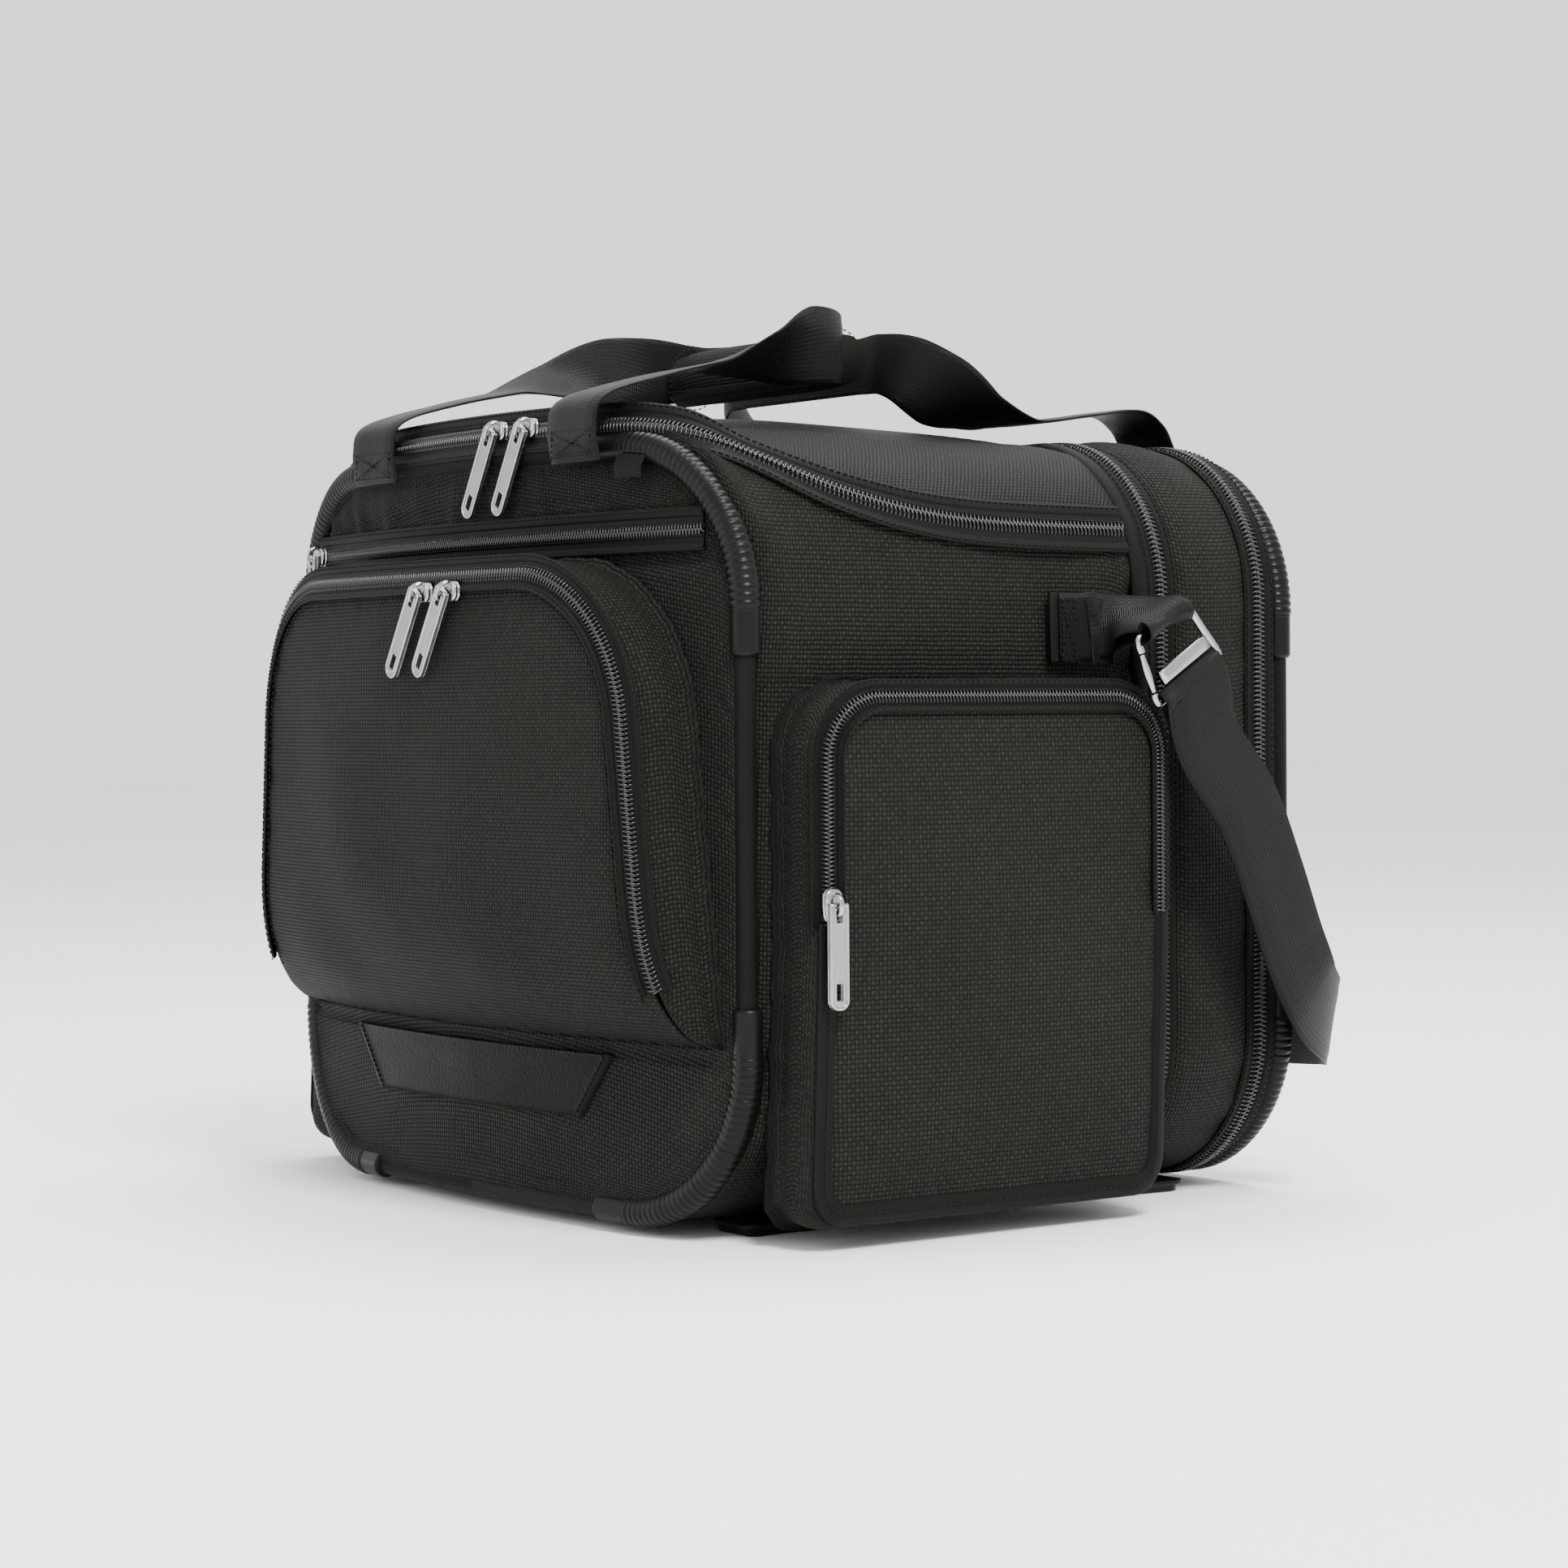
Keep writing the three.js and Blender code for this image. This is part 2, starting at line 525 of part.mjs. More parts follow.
// ---------- handles ----------
const legStations = (x, inner, points) => points.map(([t, y, z]) => [
  x + (inner - x) * t, y, z, 1, 0, 0,
]);
const HANDLE_ROOT_Y = frontY(HANDLE_RIGHT_X, ZIP_T) - 9;
const frontLeg = (x, inner) => strap(legStations(x, inner, [
  [0, HANDLE_ROOT_Y + 1, BODY_HIGH - 12],
  [0, HANDLE_ROOT_Y - 1, BODY_HIGH + 1],
  [0, HANDLE_ROOT_Y + 6, BODY_HIGH + 15],
  [0.05, 12, BODY_HIGH + 25],
  [0.3, 50, BODY_HIGH + 34],
  [0.6, 95, GRIP_Z + 2],
  [1, GRIP_Y - 2, GRIP_Z + 2],
]), HANDLE_WEB, WEB_T);
const GRIP_CORE = 24;                  // folded webbing inside the grip
const CORE_T = 6;
const WRAP_SHIFT = (HANDLE_RIGHT_X + HANDLE_LEFT_X) / 2;
const INNER_RIGHT = WRAP_SHIFT + GRIP_HALF + HANDLE_WEB / 2 + 1;
const INNER_LEFT = WRAP_SHIFT - GRIP_HALF - HANDLE_WEB / 2 - 1;
const core = box(
  INNER_LEFT, INNER_RIGHT, GRIP_Y - GRIP_CORE / 2, GRIP_Y + GRIP_CORE / 2,
  GRIP_Z - CORE_T / 2, GRIP_Z + CORE_T / 2,
);
const frontHandle = frontLeg(HANDLE_RIGHT_X, INNER_RIGHT)
  .add(frontLeg(HANDLE_LEFT_X, INNER_LEFT))
  .add(core);
const wrapBlank = new THREE.CylinderGeometry(GRIP_R, GRIP_R, 2 * GRIP_HALF, 16)
  .rotateZ(Math.PI / 2)
  .translate(WRAP_SHIFT, GRIP_Y, GRIP_Z);
const GRIP_CLEAR = 0.5;
const handleWrap = toSolid(wrapBlank)
  .subtract(box(
    -200, 200, GRIP_Y - GRIP_CORE / 2 - GRIP_CLEAR, GRIP_Y + GRIP_CORE / 2 + GRIP_CLEAR,
    GRIP_Z - CORE_T / 2 - GRIP_CLEAR, GRIP_Z + CORE_T / 2 + GRIP_CLEAR,
  ));
const REAR_GRIP_Y = GRIP_Y + GRIP_R + REAR_GRIP_GAP + 4;
const REAR_HANDLE_Z = RING_HIGH + 6;
const rearLeg = (x, inner) => strap(legStations(x, inner, [
  [0, REAR_Y - 3, REAR_HANDLE_Z],
  [0, REAR_Y - 18, REAR_HANDLE_Z + 16],
  [0.1, REAR_Y - 50, REAR_HANDLE_Z + 12],
  [0.4, REAR_Y - 95, REAR_HANDLE_Z + 6],
  [0.8, REAR_GRIP_Y + 25, REAR_HANDLE_Z + 16],
  [1, REAR_GRIP_Y, GRIP_Z - 2],
]), HANDLE_WEB, WEB_T);
const rearHandle = rearLeg(HANDLE_RIGHT_X, INNER_RIGHT)
  .add(rearLeg(HANDLE_LEFT_X, INNER_LEFT))
  .add(box(INNER_LEFT, INNER_RIGHT, REAR_GRIP_Y - 3, REAR_GRIP_Y + 3, GRIP_Z - 14, GRIP_Z + 12));

// ---------- shoulder strap (right half, mirrored) ----------
const turnAboutX = (solid, degrees, y, z) =>
  solid.translate([0, -y, -z]).rotate([degrees, 0, 0]).translate([0, y, z]);
const CLIP_Y = STRAP_PIVOT_Y + 5;      // upper bar of the clip
const CLIP_Z = STRAP_PIVOT_Z;
const CLIP_T = 3;
const CLIP_TOP = CLIP_Z + CLIP_BAR / 2;
const CLIP_FOOT = CLIP_TOP - CLIP_TALL;
const topHalf = CLIP_UPPER / 2;
const lowHalf = CLIP_WIDE / 2;
// The frame hangs from its upper bar, which is shorter than the lower one.
const clipShape = (inset) => new THREE.Shape([
  new THREE.Vector2(CLIP_Y - lowHalf + inset, CLIP_FOOT + inset),
  new THREE.Vector2(CLIP_Y + lowHalf - inset, CLIP_FOOT + inset),
  new THREE.Vector2(CLIP_Y + topHalf - inset, CLIP_TOP - inset),
  new THREE.Vector2(CLIP_Y - topHalf + inset, CLIP_TOP - inset),
]);
const clipBlank = prismX(clipShape(0), STRAP_X - CLIP_T / 2, STRAP_X + CLIP_T / 2)
  .subtract(prismX(clipShape(CLIP_BAR), STRAP_X - CLIP_T, STRAP_X + CLIP_T));
const GATE_END = 7;                    // frame left standing beyond each end of the gate
const gateZone = (grow) => box(
  STRAP_X - CLIP_T, STRAP_X + CLIP_T, CLIP_Y - lowHalf - 1, CLIP_Y - topHalf + CLIP_BAR,
  CLIP_FOOT + GATE_END - grow, CLIP_TOP - GATE_END + grow,
);
const gateBlank = clipBlank.intersect(gateZone(0));
const hang = (solid) => turnAboutX(solid, CLIP_TURN, CLIP_Y, CLIP_Z);
const clip = hang(clipBlank.subtract(gateZone(GAP)));
const gate = hang(gateBlank);

const lean = THREE.MathUtils.degToRad(CLIP_TURN);
const barY = Math.cos(lean);
const barZ = Math.sin(lean);
const lowerY = CLIP_Y + (CLIP_TALL - CLIP_BAR) * barZ;
const lowerZ = CLIP_Z - (CLIP_TALL - CLIP_BAR) * barY;
const LOOP_WEB = 30;
const loopStrap = strap([
  [HALF_WIDTH + 3, STRAP_PIVOT_Y - 22, STRAP_PIVOT_Z - 2, 0, 0, 1],
  [HALF_WIDTH + 6, STRAP_PIVOT_Y - 8, STRAP_PIVOT_Z, 0, 0, 1],
  [STRAP_X - 18, CLIP_Y - 8, CLIP_Z + 10, 0, barY, barZ],
  [STRAP_X - 5, CLIP_Y - 2, CLIP_Z + 6, 0, barY, barZ],
  [STRAP_X + 4, CLIP_Y, CLIP_Z + 3, 0, barY, barZ],
], LOOP_WEB, WEB_T);
const strapLoop = loopStrap.subtract(hang(clipBlank));
const STRAP_BACK_Y = REAR_Y + 49;
const STRAP_LOW_Z = 74;
const sideRun = [
  [STRAP_X + 4, lowerY - 4, lowerZ - 2, 0, barY, barZ],
  [STRAP_X + 3, lowerY + 6, lowerZ - 24, 0, 0.95, 0.3],
  [STRAP_X + 1, REAR_Y - 53, 178, 0, 0.94, 0.32],
  [STRAP_X - 1, REAR_Y - 36, 132, 0, 0.9, 0.42],
  [STRAP_X - 4, REAR_Y - 17, 98, 0, 0.7, 0.7],
  [STRAP_X - 16, REAR_Y + 13, STRAP_LOW_Z + 4, 0, 0.3, 1],
  [HALF_WIDTH - 38, STRAP_BACK_Y - 8, STRAP_LOW_Z, 0, 0, 1],
  [75, STRAP_BACK_Y, STRAP_LOW_Z - 4, 0, 0, 1],
];
const otherSide = sideRun.map(([x, y, z, wx, wy, wz]) => [-x, y, z, wx, wy, wz]).reverse();
const strapWebbing = strap([...sideRun, ...otherSide], STRAP_WEB, WEB_T);
const ADJUSTER_Y = REAR_Y - 53;
const ADJUSTER_Z = 176;
const adjusterPlate = box(-STRAP_X - 5, -STRAP_X - 1.5, ADJUSTER_Y - 26, ADJUSTER_Y + 26, ADJUSTER_Z - 14, ADJUSTER_Z + 14);
const adjuster = turnAboutX(adjusterPlate, 19, ADJUSTER_Y, ADJUSTER_Z)
  .subtract(strap([...sideRun, ...otherSide], STRAP_WEB + 2, WEB_T + 2 * GAP));

// ---------- zip sliders and pulls ----------
// Drawn for a zip on a face that looks along -Y: the pull hangs along -Z from the origin,
// which lies on the zip's surface. The pull turns on a bar across the slider's bridge.
const SLIDER_LONG = 14;
const SLIDER_WIDE = 9;
const SLIDER_T = 3.5;
const BRIDGE_WIDE = 2.4;
const BRIDGE_HIGH = 8.4;
const PIN_Y = -5.9;                    // the pull's bar in front of the zip
const PIN_HALF = 0.9;

function sliderSolid(alongX, tilt) {
  const [halfX, halfZ] = alongX ? [SLIDER_LONG / 2, SLIDER_WIDE / 2] : [SLIDER_WIDE / 2, SLIDER_LONG / 2];
  const base = box(-halfX, halfX, -GAP - SLIDER_T, -GAP, -halfZ, halfZ);
  const bridge = box(-BRIDGE_WIDE / 2, BRIDGE_WIDE / 2, -BRIDGE_HIGH, -SLIDER_T, -4.2, 4.2);
  const window = box(-5, 5, PIN_Y - 1.6, PIN_Y + 1.5, -2.4, 2.4);
  return base.add(bridge.subtract(window).rotate([0, tilt, 0]));
}

function pullSolid() {
  const half = PULL_WIDE / 2;
  const shape = roundedRect(-half, half, -PULL_LONG, PIN_HALF, half - 0.6, 0.8);
  const plate = prismY(shape, PIN_Y - PULL_T / 2, PIN_Y + PULL_T / 2, 2);
  const eye = box(-BRIDGE_WIDE / 2 - 0.4, BRIDGE_WIDE / 2 + 0.4, -20, 0, -7, -PIN_HALF);
  const hole = box(-1.7, 1.7, -20, 0, -PULL_LONG + 4, -PULL_LONG + 11);
  return plate.subtract(eye).subtract(hole);
}

// ---------- assembly ----------
const bag = new THREE.Group();

function piece(name, solid, look, parent = bag) {
  const mesh = new THREE.Mesh(toGeometry(solid), look);
  mesh.name = name;
  parent.add(mesh);
  return mesh;
}

const mirrored = (solid) => solid.mirror([1, 0, 0]);

piece('body_shell', bodyShell, NYLON);
piece('body_zip', bodyZip, ZIP);
piece('lid', lidShell, NYLON);
piece('lid_zip', lidZip, ZIP);
piece('front_panel', panelSolid(0), NYLON);
piece('front_piping', frontPiping, PIPING);
for (const [corner, solid] of Object.entries(frontBumpers)) {
  piece(`front_bumper_${corner}`, solid, RUBBER);
}
piece('slip_pocket_zip', slipZip, ZIP);
piece('leather_patch', leatherPatch, LEATHER);
piece('front_pocket_base', pocketBase, NYLON);
piece('front_pocket_zip', pocketZip, ZIP);
piece('front_pocket_flap', pocketFlap, NYLON);

for (const [side, place] of [['right', (s) => s], ['left', mirrored]]) {
  piece(`side_pocket_${side}`, place(sideBase), NYLON);
  piece(`side_flap_${side}`, place(sideFlap), NYLON);
  piece(`strap_loop_${side}`, place(strapLoop), WEBBING);
  piece(`strap_clip_${side}`, place(clip), SILVER);
  piece(`clip_gate_${side}`, place(gate), SILVER);
}

piece('rear_gusset', rearGusset, NYLON);
piece('rear_wall', rearWall, LINING);
piece('rear_zip', rearZip, ZIP);
piece('rear_cover', rearCover, NYLON);
piece('rear_piping', rearPiping, PIPING);
for (const [corner, solid] of Object.entries(rearBumpers)) {
  piece(`rear_bumper_${corner}`, solid, RUBBER);
}
piece('base_board', baseBoard, BOARD);
for (const [end, y] of [['front', FOOT_FRONT_Y], ['rear', FOOT_REAR_Y]]) {
  piece(`foot_${end}_right`, footSolid(FOOT_X, y), PLASTIC);
  piece(`foot_${end}_left`, footSolid(-FOOT_X, y), PLASTIC);
}

piece('front_handle', frontHandle, WEBBING);
piece('handle_wrap', handleWrap, NYLON);
piece('rear_handle', rearHandle, WEBBING);
piece('strap_webbing', strapWebbing, WEBBING);
piece('strap_adjuster', adjuster, PLASTIC);

// Sliders: name, place on the zip's surface, turn about Z, lean of the pull, zip along X or not.
const mainZipProud = BODY_PROUD + GAP + ZIP_T;
const slipProud = GAP + ZIP_T;
const sideZipX = SIDE_FACE;
const SLIDERS = [
  ['main_right', 48, frontY(48, mainZipProud), BODY_HIGH + 4, 0, 30, true],
  ['main_left', 24, frontY(24, mainZipProud), BODY_HIGH + 4, 0, 30, true],
  ['pocket_right', 44, frontY(44, POCKET_PROUD), POCKET_HIGH - 12, 0, 32, true],
  ['pocket_left', 22, frontY(22, POCKET_PROUD), POCKET_HIGH - 12, 0, 32, true],
  ['slip', -SLIP_HALF + 8, frontY(-SLIP_HALF + 8, slipProud), SLIP_Z, -10, 0, true],
  ['side_right', sideZipX, SIDE_FRONT + SIDE_RIM / 2, SIDE_HINGE_Z + 12, 90, 0, false],
  ['side_left', -sideZipX, SIDE_FRONT + SIDE_RIM / 2, SIDE_HINGE_Z + 12, -90, 0, false],
  ['rear', -HALF_WIDTH - 2, REAR_ZIP_Y + REAR_ZIP_WIDE / 2, 240, -90, 0, false],
];
for (const [name, x, y, z, turn, tilt, alongX] of SLIDERS) {
  const holder = new THREE.Group();
  holder.position.set(x, y, z);
  holder.rotation.z = THREE.MathUtils.degToRad(turn);
  bag.add(holder);
  piece(`slider_${name}`, sliderSolid(alongX, tilt), SILVER, holder);
  const pull = piece(`pull_${name}`, pullSolid(), SILVER, holder);
  pull.rotation.y = THREE.MathUtils.degToRad(tilt);
}

// The origin is the middle of the footprint at the surface that the bag stands on.
const bounds = new THREE.Box3().setFromObject(bag);
const centre = bounds.getCenter(new THREE.Vector3());
bag.position.set(-centre.x, -centre.y, -bounds.min.z);

export default bag;
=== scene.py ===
import math
import bpy
import numpy as np
from mathutils import Matrix, Vector


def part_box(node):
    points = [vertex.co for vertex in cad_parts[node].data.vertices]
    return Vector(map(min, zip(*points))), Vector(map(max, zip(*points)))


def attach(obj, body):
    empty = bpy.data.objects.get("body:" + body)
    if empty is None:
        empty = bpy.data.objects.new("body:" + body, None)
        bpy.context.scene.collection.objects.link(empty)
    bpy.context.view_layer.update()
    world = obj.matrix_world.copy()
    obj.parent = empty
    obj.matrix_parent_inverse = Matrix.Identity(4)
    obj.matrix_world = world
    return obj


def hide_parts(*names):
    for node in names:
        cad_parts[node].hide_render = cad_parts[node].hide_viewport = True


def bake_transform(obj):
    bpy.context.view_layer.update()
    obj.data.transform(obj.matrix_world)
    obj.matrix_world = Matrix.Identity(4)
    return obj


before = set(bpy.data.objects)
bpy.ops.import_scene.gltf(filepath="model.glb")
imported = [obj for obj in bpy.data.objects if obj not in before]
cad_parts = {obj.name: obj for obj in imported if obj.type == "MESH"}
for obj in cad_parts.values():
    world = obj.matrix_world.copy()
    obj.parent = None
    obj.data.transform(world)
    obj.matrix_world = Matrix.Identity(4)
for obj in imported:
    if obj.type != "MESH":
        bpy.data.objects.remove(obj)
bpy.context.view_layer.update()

SHIFT = 210.3 - 1000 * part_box("rear_wall")[0][1]   # design Y of the frame's origin, mm
link = bpy.context.scene.collection.objects.link


def metres(p):
    p = np.asarray(p, float)
    return (p - (0, SHIFT, 0)) / 1000


# ---------- materials ----------
class Graph:
    """Short names for building a node tree."""

    def __init__(self, name):
        self.mat = bpy.data.materials.new(name)
        self.mat.use_nodes = True
        self.tree = self.mat.node_tree
        self.tree.nodes.clear()
        self.out = self.add("ShaderNodeOutputMaterial")
        self.bsdf = self.add("ShaderNodeBsdfPrincipled")
        self.tree.links.new(self.bsdf.outputs[0], self.out.inputs[0])

    def add(self, kind, **values):
        node = self.tree.nodes.new(kind)
        for key, value in values.items():
            setattr(node, key, value)
        return node

    def put(self, socket, value):
        if isinstance(value, bpy.types.NodeSocket):
            self.tree.links.new(value, socket)
        else:
            socket.default_value = (*value, 1) if socket.type == "RGBA" else value

    def math(self, op, a, b=0.0, c=0.0):
        node = self.add("ShaderNodeMath", operation=op)
        for socket, value in zip(node.inputs, (a, b, c)):
            self.put(socket, value)
        return node.outputs[0]

    def uv(self):
        node = self.add("ShaderNodeUVMap", uv_map="UVMap")
        split = self.add("ShaderNodeSeparateXYZ")
        self.put(split.inputs[0], node.outputs[0])
        return node.outputs[0], split.outputs[0], split.outputs[1]

    def place(self):
        return self.add("ShaderNodeTexCoord").outputs["Object"]

    def texture(self, kind, vector, **sockets):
        """First output of a texture: a noise's height or the distance to a Voronoi cell."""
        node = self.add("ShaderNodeTex" + kind)
        self.put(node.inputs["Vector"], vector)
        for key, value in sockets.items():
            node.inputs[key].default_value = value
        return node.outputs[0]

    def noise(self, vector, scale, detail=2.0, rough=0.5):
        return self.texture("Noise", vector, Scale=scale, Detail=detail, Roughness=rough)

    def times(self, value, *others):
        for other in others:
            value = self.math("MULTIPLY", value, other)
        return value

    def mix(self, factor, a, b):
        node = self.add("ShaderNodeMix", data_type="RGBA")
        for k, value in ((0, factor), (6, a), (7, b)):
            self.put(node.inputs[k], value)
        return node.outputs[2]

    def spread(self, value, low, high, to_low, to_high):
        node = self.add("ShaderNodeMapRange")
        for socket, v in zip(node.inputs, (value, low, high, to_low, to_high)):
            self.put(socket, v)
        return node.outputs[0]

    def bump(self, height, distance, strength=1.0):
        node = self.add("ShaderNodeBump")
        node.inputs["Distance"].default_value = distance
        node.inputs["Strength"].default_value = strength
        self.put(node.inputs["Height"], height)
        self.put(self.bsdf.inputs["Normal"], node.outputs[0])

    def finish(self, color, rough, **sockets):
        self.put(self.bsdf.inputs["Base Color"], color)
        self.put(self.bsdf.inputs["Roughness"], rough)
        for key, value in sockets.items():
            self.bsdf.inputs[key.replace("_", " ")].default_value = value
        return self.mat


def shade(base, share):
    return tuple(c * share for c in base)


def weave_height(g, u, v, pitch):
    """Plain weave: rounded yarns that pass over and under each other in turn."""
    u, v = g.math("DIVIDE", u, pitch), g.math("DIVIDE", v, pitch)
    cell = g.add("ShaderNodeCombineXYZ")
    cells = [g.math("FLOOR", k) for k in (u, v)]
    for socket, value in zip(cell.inputs, cells):
        g.put(socket, value)
    over = g.math("FLOORED_MODULO", g.math("ADD", *cells), 2.0)
    su, sv = (g.math("SINE", g.times(g.math("FRACT", k), math.pi)) for k in (u, v))
    warp = g.times(g.math("POWER", su, 0.6), g.spread(sv, 0, 1, 0.45, 1))
    weft = g.times(g.math("POWER", sv, 0.6), g.spread(su, 0, 1, 0.45, 1))
    height = g.math("ADD", g.times(warp, over), g.times(weft, g.math("SUBTRACT", 1.0, over)))
    white = g.add("ShaderNodeTexWhiteNoise", noise_dimensions="2D")
    g.put(white.inputs["Vector"], cell.outputs[0])
    return height, white.outputs["Value"], over


def woven(name, base, pitch, depth, rough=0.6, sheen=0.004, painted_highlight=2.1):
    g = Graph(name)
    vec, u, v = g.uv()
    drift = g.math("SUBTRACT", g.noise(vec, 60, 2), 0.5)
    u = g.math("ADD", u, g.times(drift, pitch * 0.5))
    height, white, over = weave_height(g, u, v, pitch)
    # Colour follows the weave height: painted shade in the valleys between yarns and a painted highlight on
    # the yarn crests, whose strength the crest factor sets. Warp against weft and each yarn cell change the
    # tone a little, and a cloud noise varies it at random.
    tone = g.times(g.spread(height, 0.25, 1, 0.35, 1), g.spread(white, 0, 1, 0.8, 1.12),
                   g.spread(over, 0, 1, 0.8, 1.1),
                   g.spread(g.noise(vec, 14, 4, 0.6), 0.3, 0.7, 0.88, 1.1))
    color = g.mix(g.math("DIVIDE", tone, 1.2), shade(base, 0.15), shade(base, painted_highlight / 1.2))
    g.bump(height, depth)
    return g.finish(color, g.spread(height, 0, 1, rough + 0.15, rough - 0.08),
                    Sheen_Weight=sheen, Sheen_Roughness=0.4, Specular_IOR_Level=0.05)


def ribbed(name, base, pitch, slant, depth, cross, rough=0.5, sheen=0.004):
    """Fine ribs across V, leaning by slant and cut by cross threads, as on webbing and twill."""
    g = Graph(name)
    vec, u, v = g.uv()
    wander = g.times(g.math("SUBTRACT", g.noise(vec, 220, 2), 0.5), pitch * 0.5)
    run = g.math("ADD", g.math("ADD", v, g.times(u, slant)), wander)
    wave = g.math("SINE", g.times(run, 2 * math.pi / pitch))
    lines = g.math("SINE", g.times(u, 2 * math.pi / cross))
    rib = g.times(g.spread(wave, -1, 1, 0, 1), g.spread(lines, -1, 1, 0.55, 1))
    # Colour follows the rib height: painted shade in the grooves and a painted highlight on the ribs; two
    # noises vary the tone at random.
    tone = g.times(g.spread(rib, 0, 1, 0.45, 1),
                   g.spread(g.noise(vec, 22, 3), 0.3, 0.7, 0.85, 1.12),
                   g.spread(g.noise(vec, 900, 2), 0.3, 0.7, 0.85, 1.1))
    color = g.mix(g.math("DIVIDE", tone, 1.3), shade(base, 0.3), shade(base, 1.7))
    g.bump(rib, depth)
    return g.finish(color, g.spread(rib, 0, 1, rough + 0.12, rough - 0.05),
                    Sheen_Weight=sheen, Sheen_Roughness=0.4, Specular_IOR_Level=0.09)


def grained(name, base, scale, depth, rough, spec=0.5, wear=1.25):
    """Moulded, coated or leather surface: fine grain, soft colour change and lighter wear."""
    g = Graph(name)
    vec = g.place()
    cells = g.texture("Voronoi", vec, Scale=scale)
    fine = g.noise(vec, scale * 2.2, 3)
    cloud = g.noise(vec, 18, 4, 0.6)
    height = g.math("ADD", g.times(cells, 0.7), g.times(fine, 0.5))
    tone = g.times(g.spread(cloud, 0.3, 0.7, 0, 1), g.spread(fine, 0.3, 0.7, 0.6, 1))
    g.bump(height, depth)
    return g.finish(g.mix(tone, shade(base, 0.8), shade(base, wear)),
                    g.spread(cloud, 0.3, 0.7, rough - 0.06, rough + 0.1),
                    Specular_IOR_Level=spec, Coat_Roughness=0.35)


def brushed(name, base, rough, dots=0.0):
    """Nickel with fine brush lines, or with small dimples where dots is their scale."""
    g = Graph(name)
    vec = g.place()
    stretch = g.add("ShaderNodeMapping")
    g.put(stretch.inputs[0], vec)
    stretch.inputs["Scale"].default_value = (900, 900, 60)
    height = g.noise(stretch.outputs[0], 1.0, 2)
    smudge = g.noise(vec, 90, 3)
    if dots:
        height = g.math("ADD", height, g.times(g.texture("Voronoi", vec, Scale=dots), 1.6))
    g.bump(height, 0.00006 if dots else 0.00002)
    return g.finish(g.mix(g.spread(smudge, 0.35, 0.65, 0, 1), shade(base, 0.9), base),
                    g.spread(smudge, 0.3, 0.7, rough - 0.05, rough + 0.08), Metallic=1.0)


INK = (0.0042, 0.0042, 0.0034)
# Woven cloths: painted shade in the weave's valleys and a painted highlight on its crests; the last number
# sets how bright the crests are painted.
NYLON = woven("ballistic_nylon", INK, 0.0020, 0.0009, painted_highlight=5.8)
NYLON_FINE = woven("pocket_nylon", INK, 0.0017, 0.0007, painted_highlight=5.4)
BINDING = ribbed("binding", (0.0034, 0.0034, 0.0029), 0.0011, 0.6, 0.0002, 0.0013)
LIDCLOTH = ribbed("lid_twill", (0.0055, 0.0055, 0.0045), 0.0021, 0.6, 0.0004, 0.0019)
WEBBING = ribbed("webbing", (0.0044, 0.0044, 0.0038), 0.0011, 0.0, 0.00022, 0.0021, 0.36, 0.006)
TAPE = ribbed("zip_tape", (0.0032, 0.0032, 0.0029), 0.0009, 1.0, 0.00012, 0.001)
COIL = grained("zip_coil", (0.006, 0.006, 0.006), 1600, 0.00002, 0.26, spec=0.55)
RUBBER = grained("rubber", (0.0038, 0.0038, 0.0036), 900, 0.00004, 0.34, spec=0.12)
LEATHER = grained("leather", (0.0030, 0.0029, 0.0026), 620, 0.00022, 0.42, spec=0.05)
PLASTIC = grained("black_plastic", (0.005, 0.005, 0.005), 1200, 0.00003, 0.4, spec=0.3)
THREAD = grained("thread", (0.0035, 0.0035, 0.003), 2500, 0.00004, 0.5, spec=0.12, wear=1.8)
LINING = woven("lining", (0.02, 0.0205, 0.022), 0.0007, 0.0001, rough=0.5, sheen=0.03)
BOARD = grained("board", (0.03, 0.03, 0.03), 500, 0.00015, 0.6)
NICKEL = brushed("nickel", (0.38, 0.372, 0.35), 0.2)
NICKEL_DOTS = brushed("nickel_textured", (0.33, 0.325, 0.305), 0.36, dots=1500)


# ---------- meshes ----------
def make(name, verts, faces, mat, corner_uv=None):
    """A mesh from points in design millimetres and arrays of faces."""
    mesh = bpy.data.meshes.new(name)
    mesh.from_pydata(metres(verts).tolist(), [], [row.tolist() for f in faces for row in f])
    if corner_uv is not None:
        layer = mesh.uv_layers.new(name="UVMap")
        layer.data.foreach_set("uv", np.asarray(corner_uv, np.float32).ravel())
    mesh.materials.append(mat)
    mesh.polygons.foreach_set("use_smooth", [True] * len(mesh.polygons))
    obj = bpy.data.objects.new(name, mesh)
    link(obj)
    return obj


def lengths(p, axis, closed):
    """Metres of cloth from the first point to each one along an axis of p."""
    step = np.linalg.norm(np.roll(p, -1, axis) - p, axis=2)
    if not closed:
        step = np.delete(step, -1, axis)
    zero = np.zeros_like(np.take(step, [0], axis))
    return np.concatenate([zero, np.cumsum(step, axis)], axis) / 1000


def corner_grid(rows, around):
    """Row and column of the four corners of each face in a grid."""
    i, j = np.meshgrid(np.arange(rows), np.arange(around), indexing="ij")
    i, j = i.ravel(), j.ravel()
    return [(i, j), (i, j + 1), (i + 1, j + 1), (i + 1, j)]


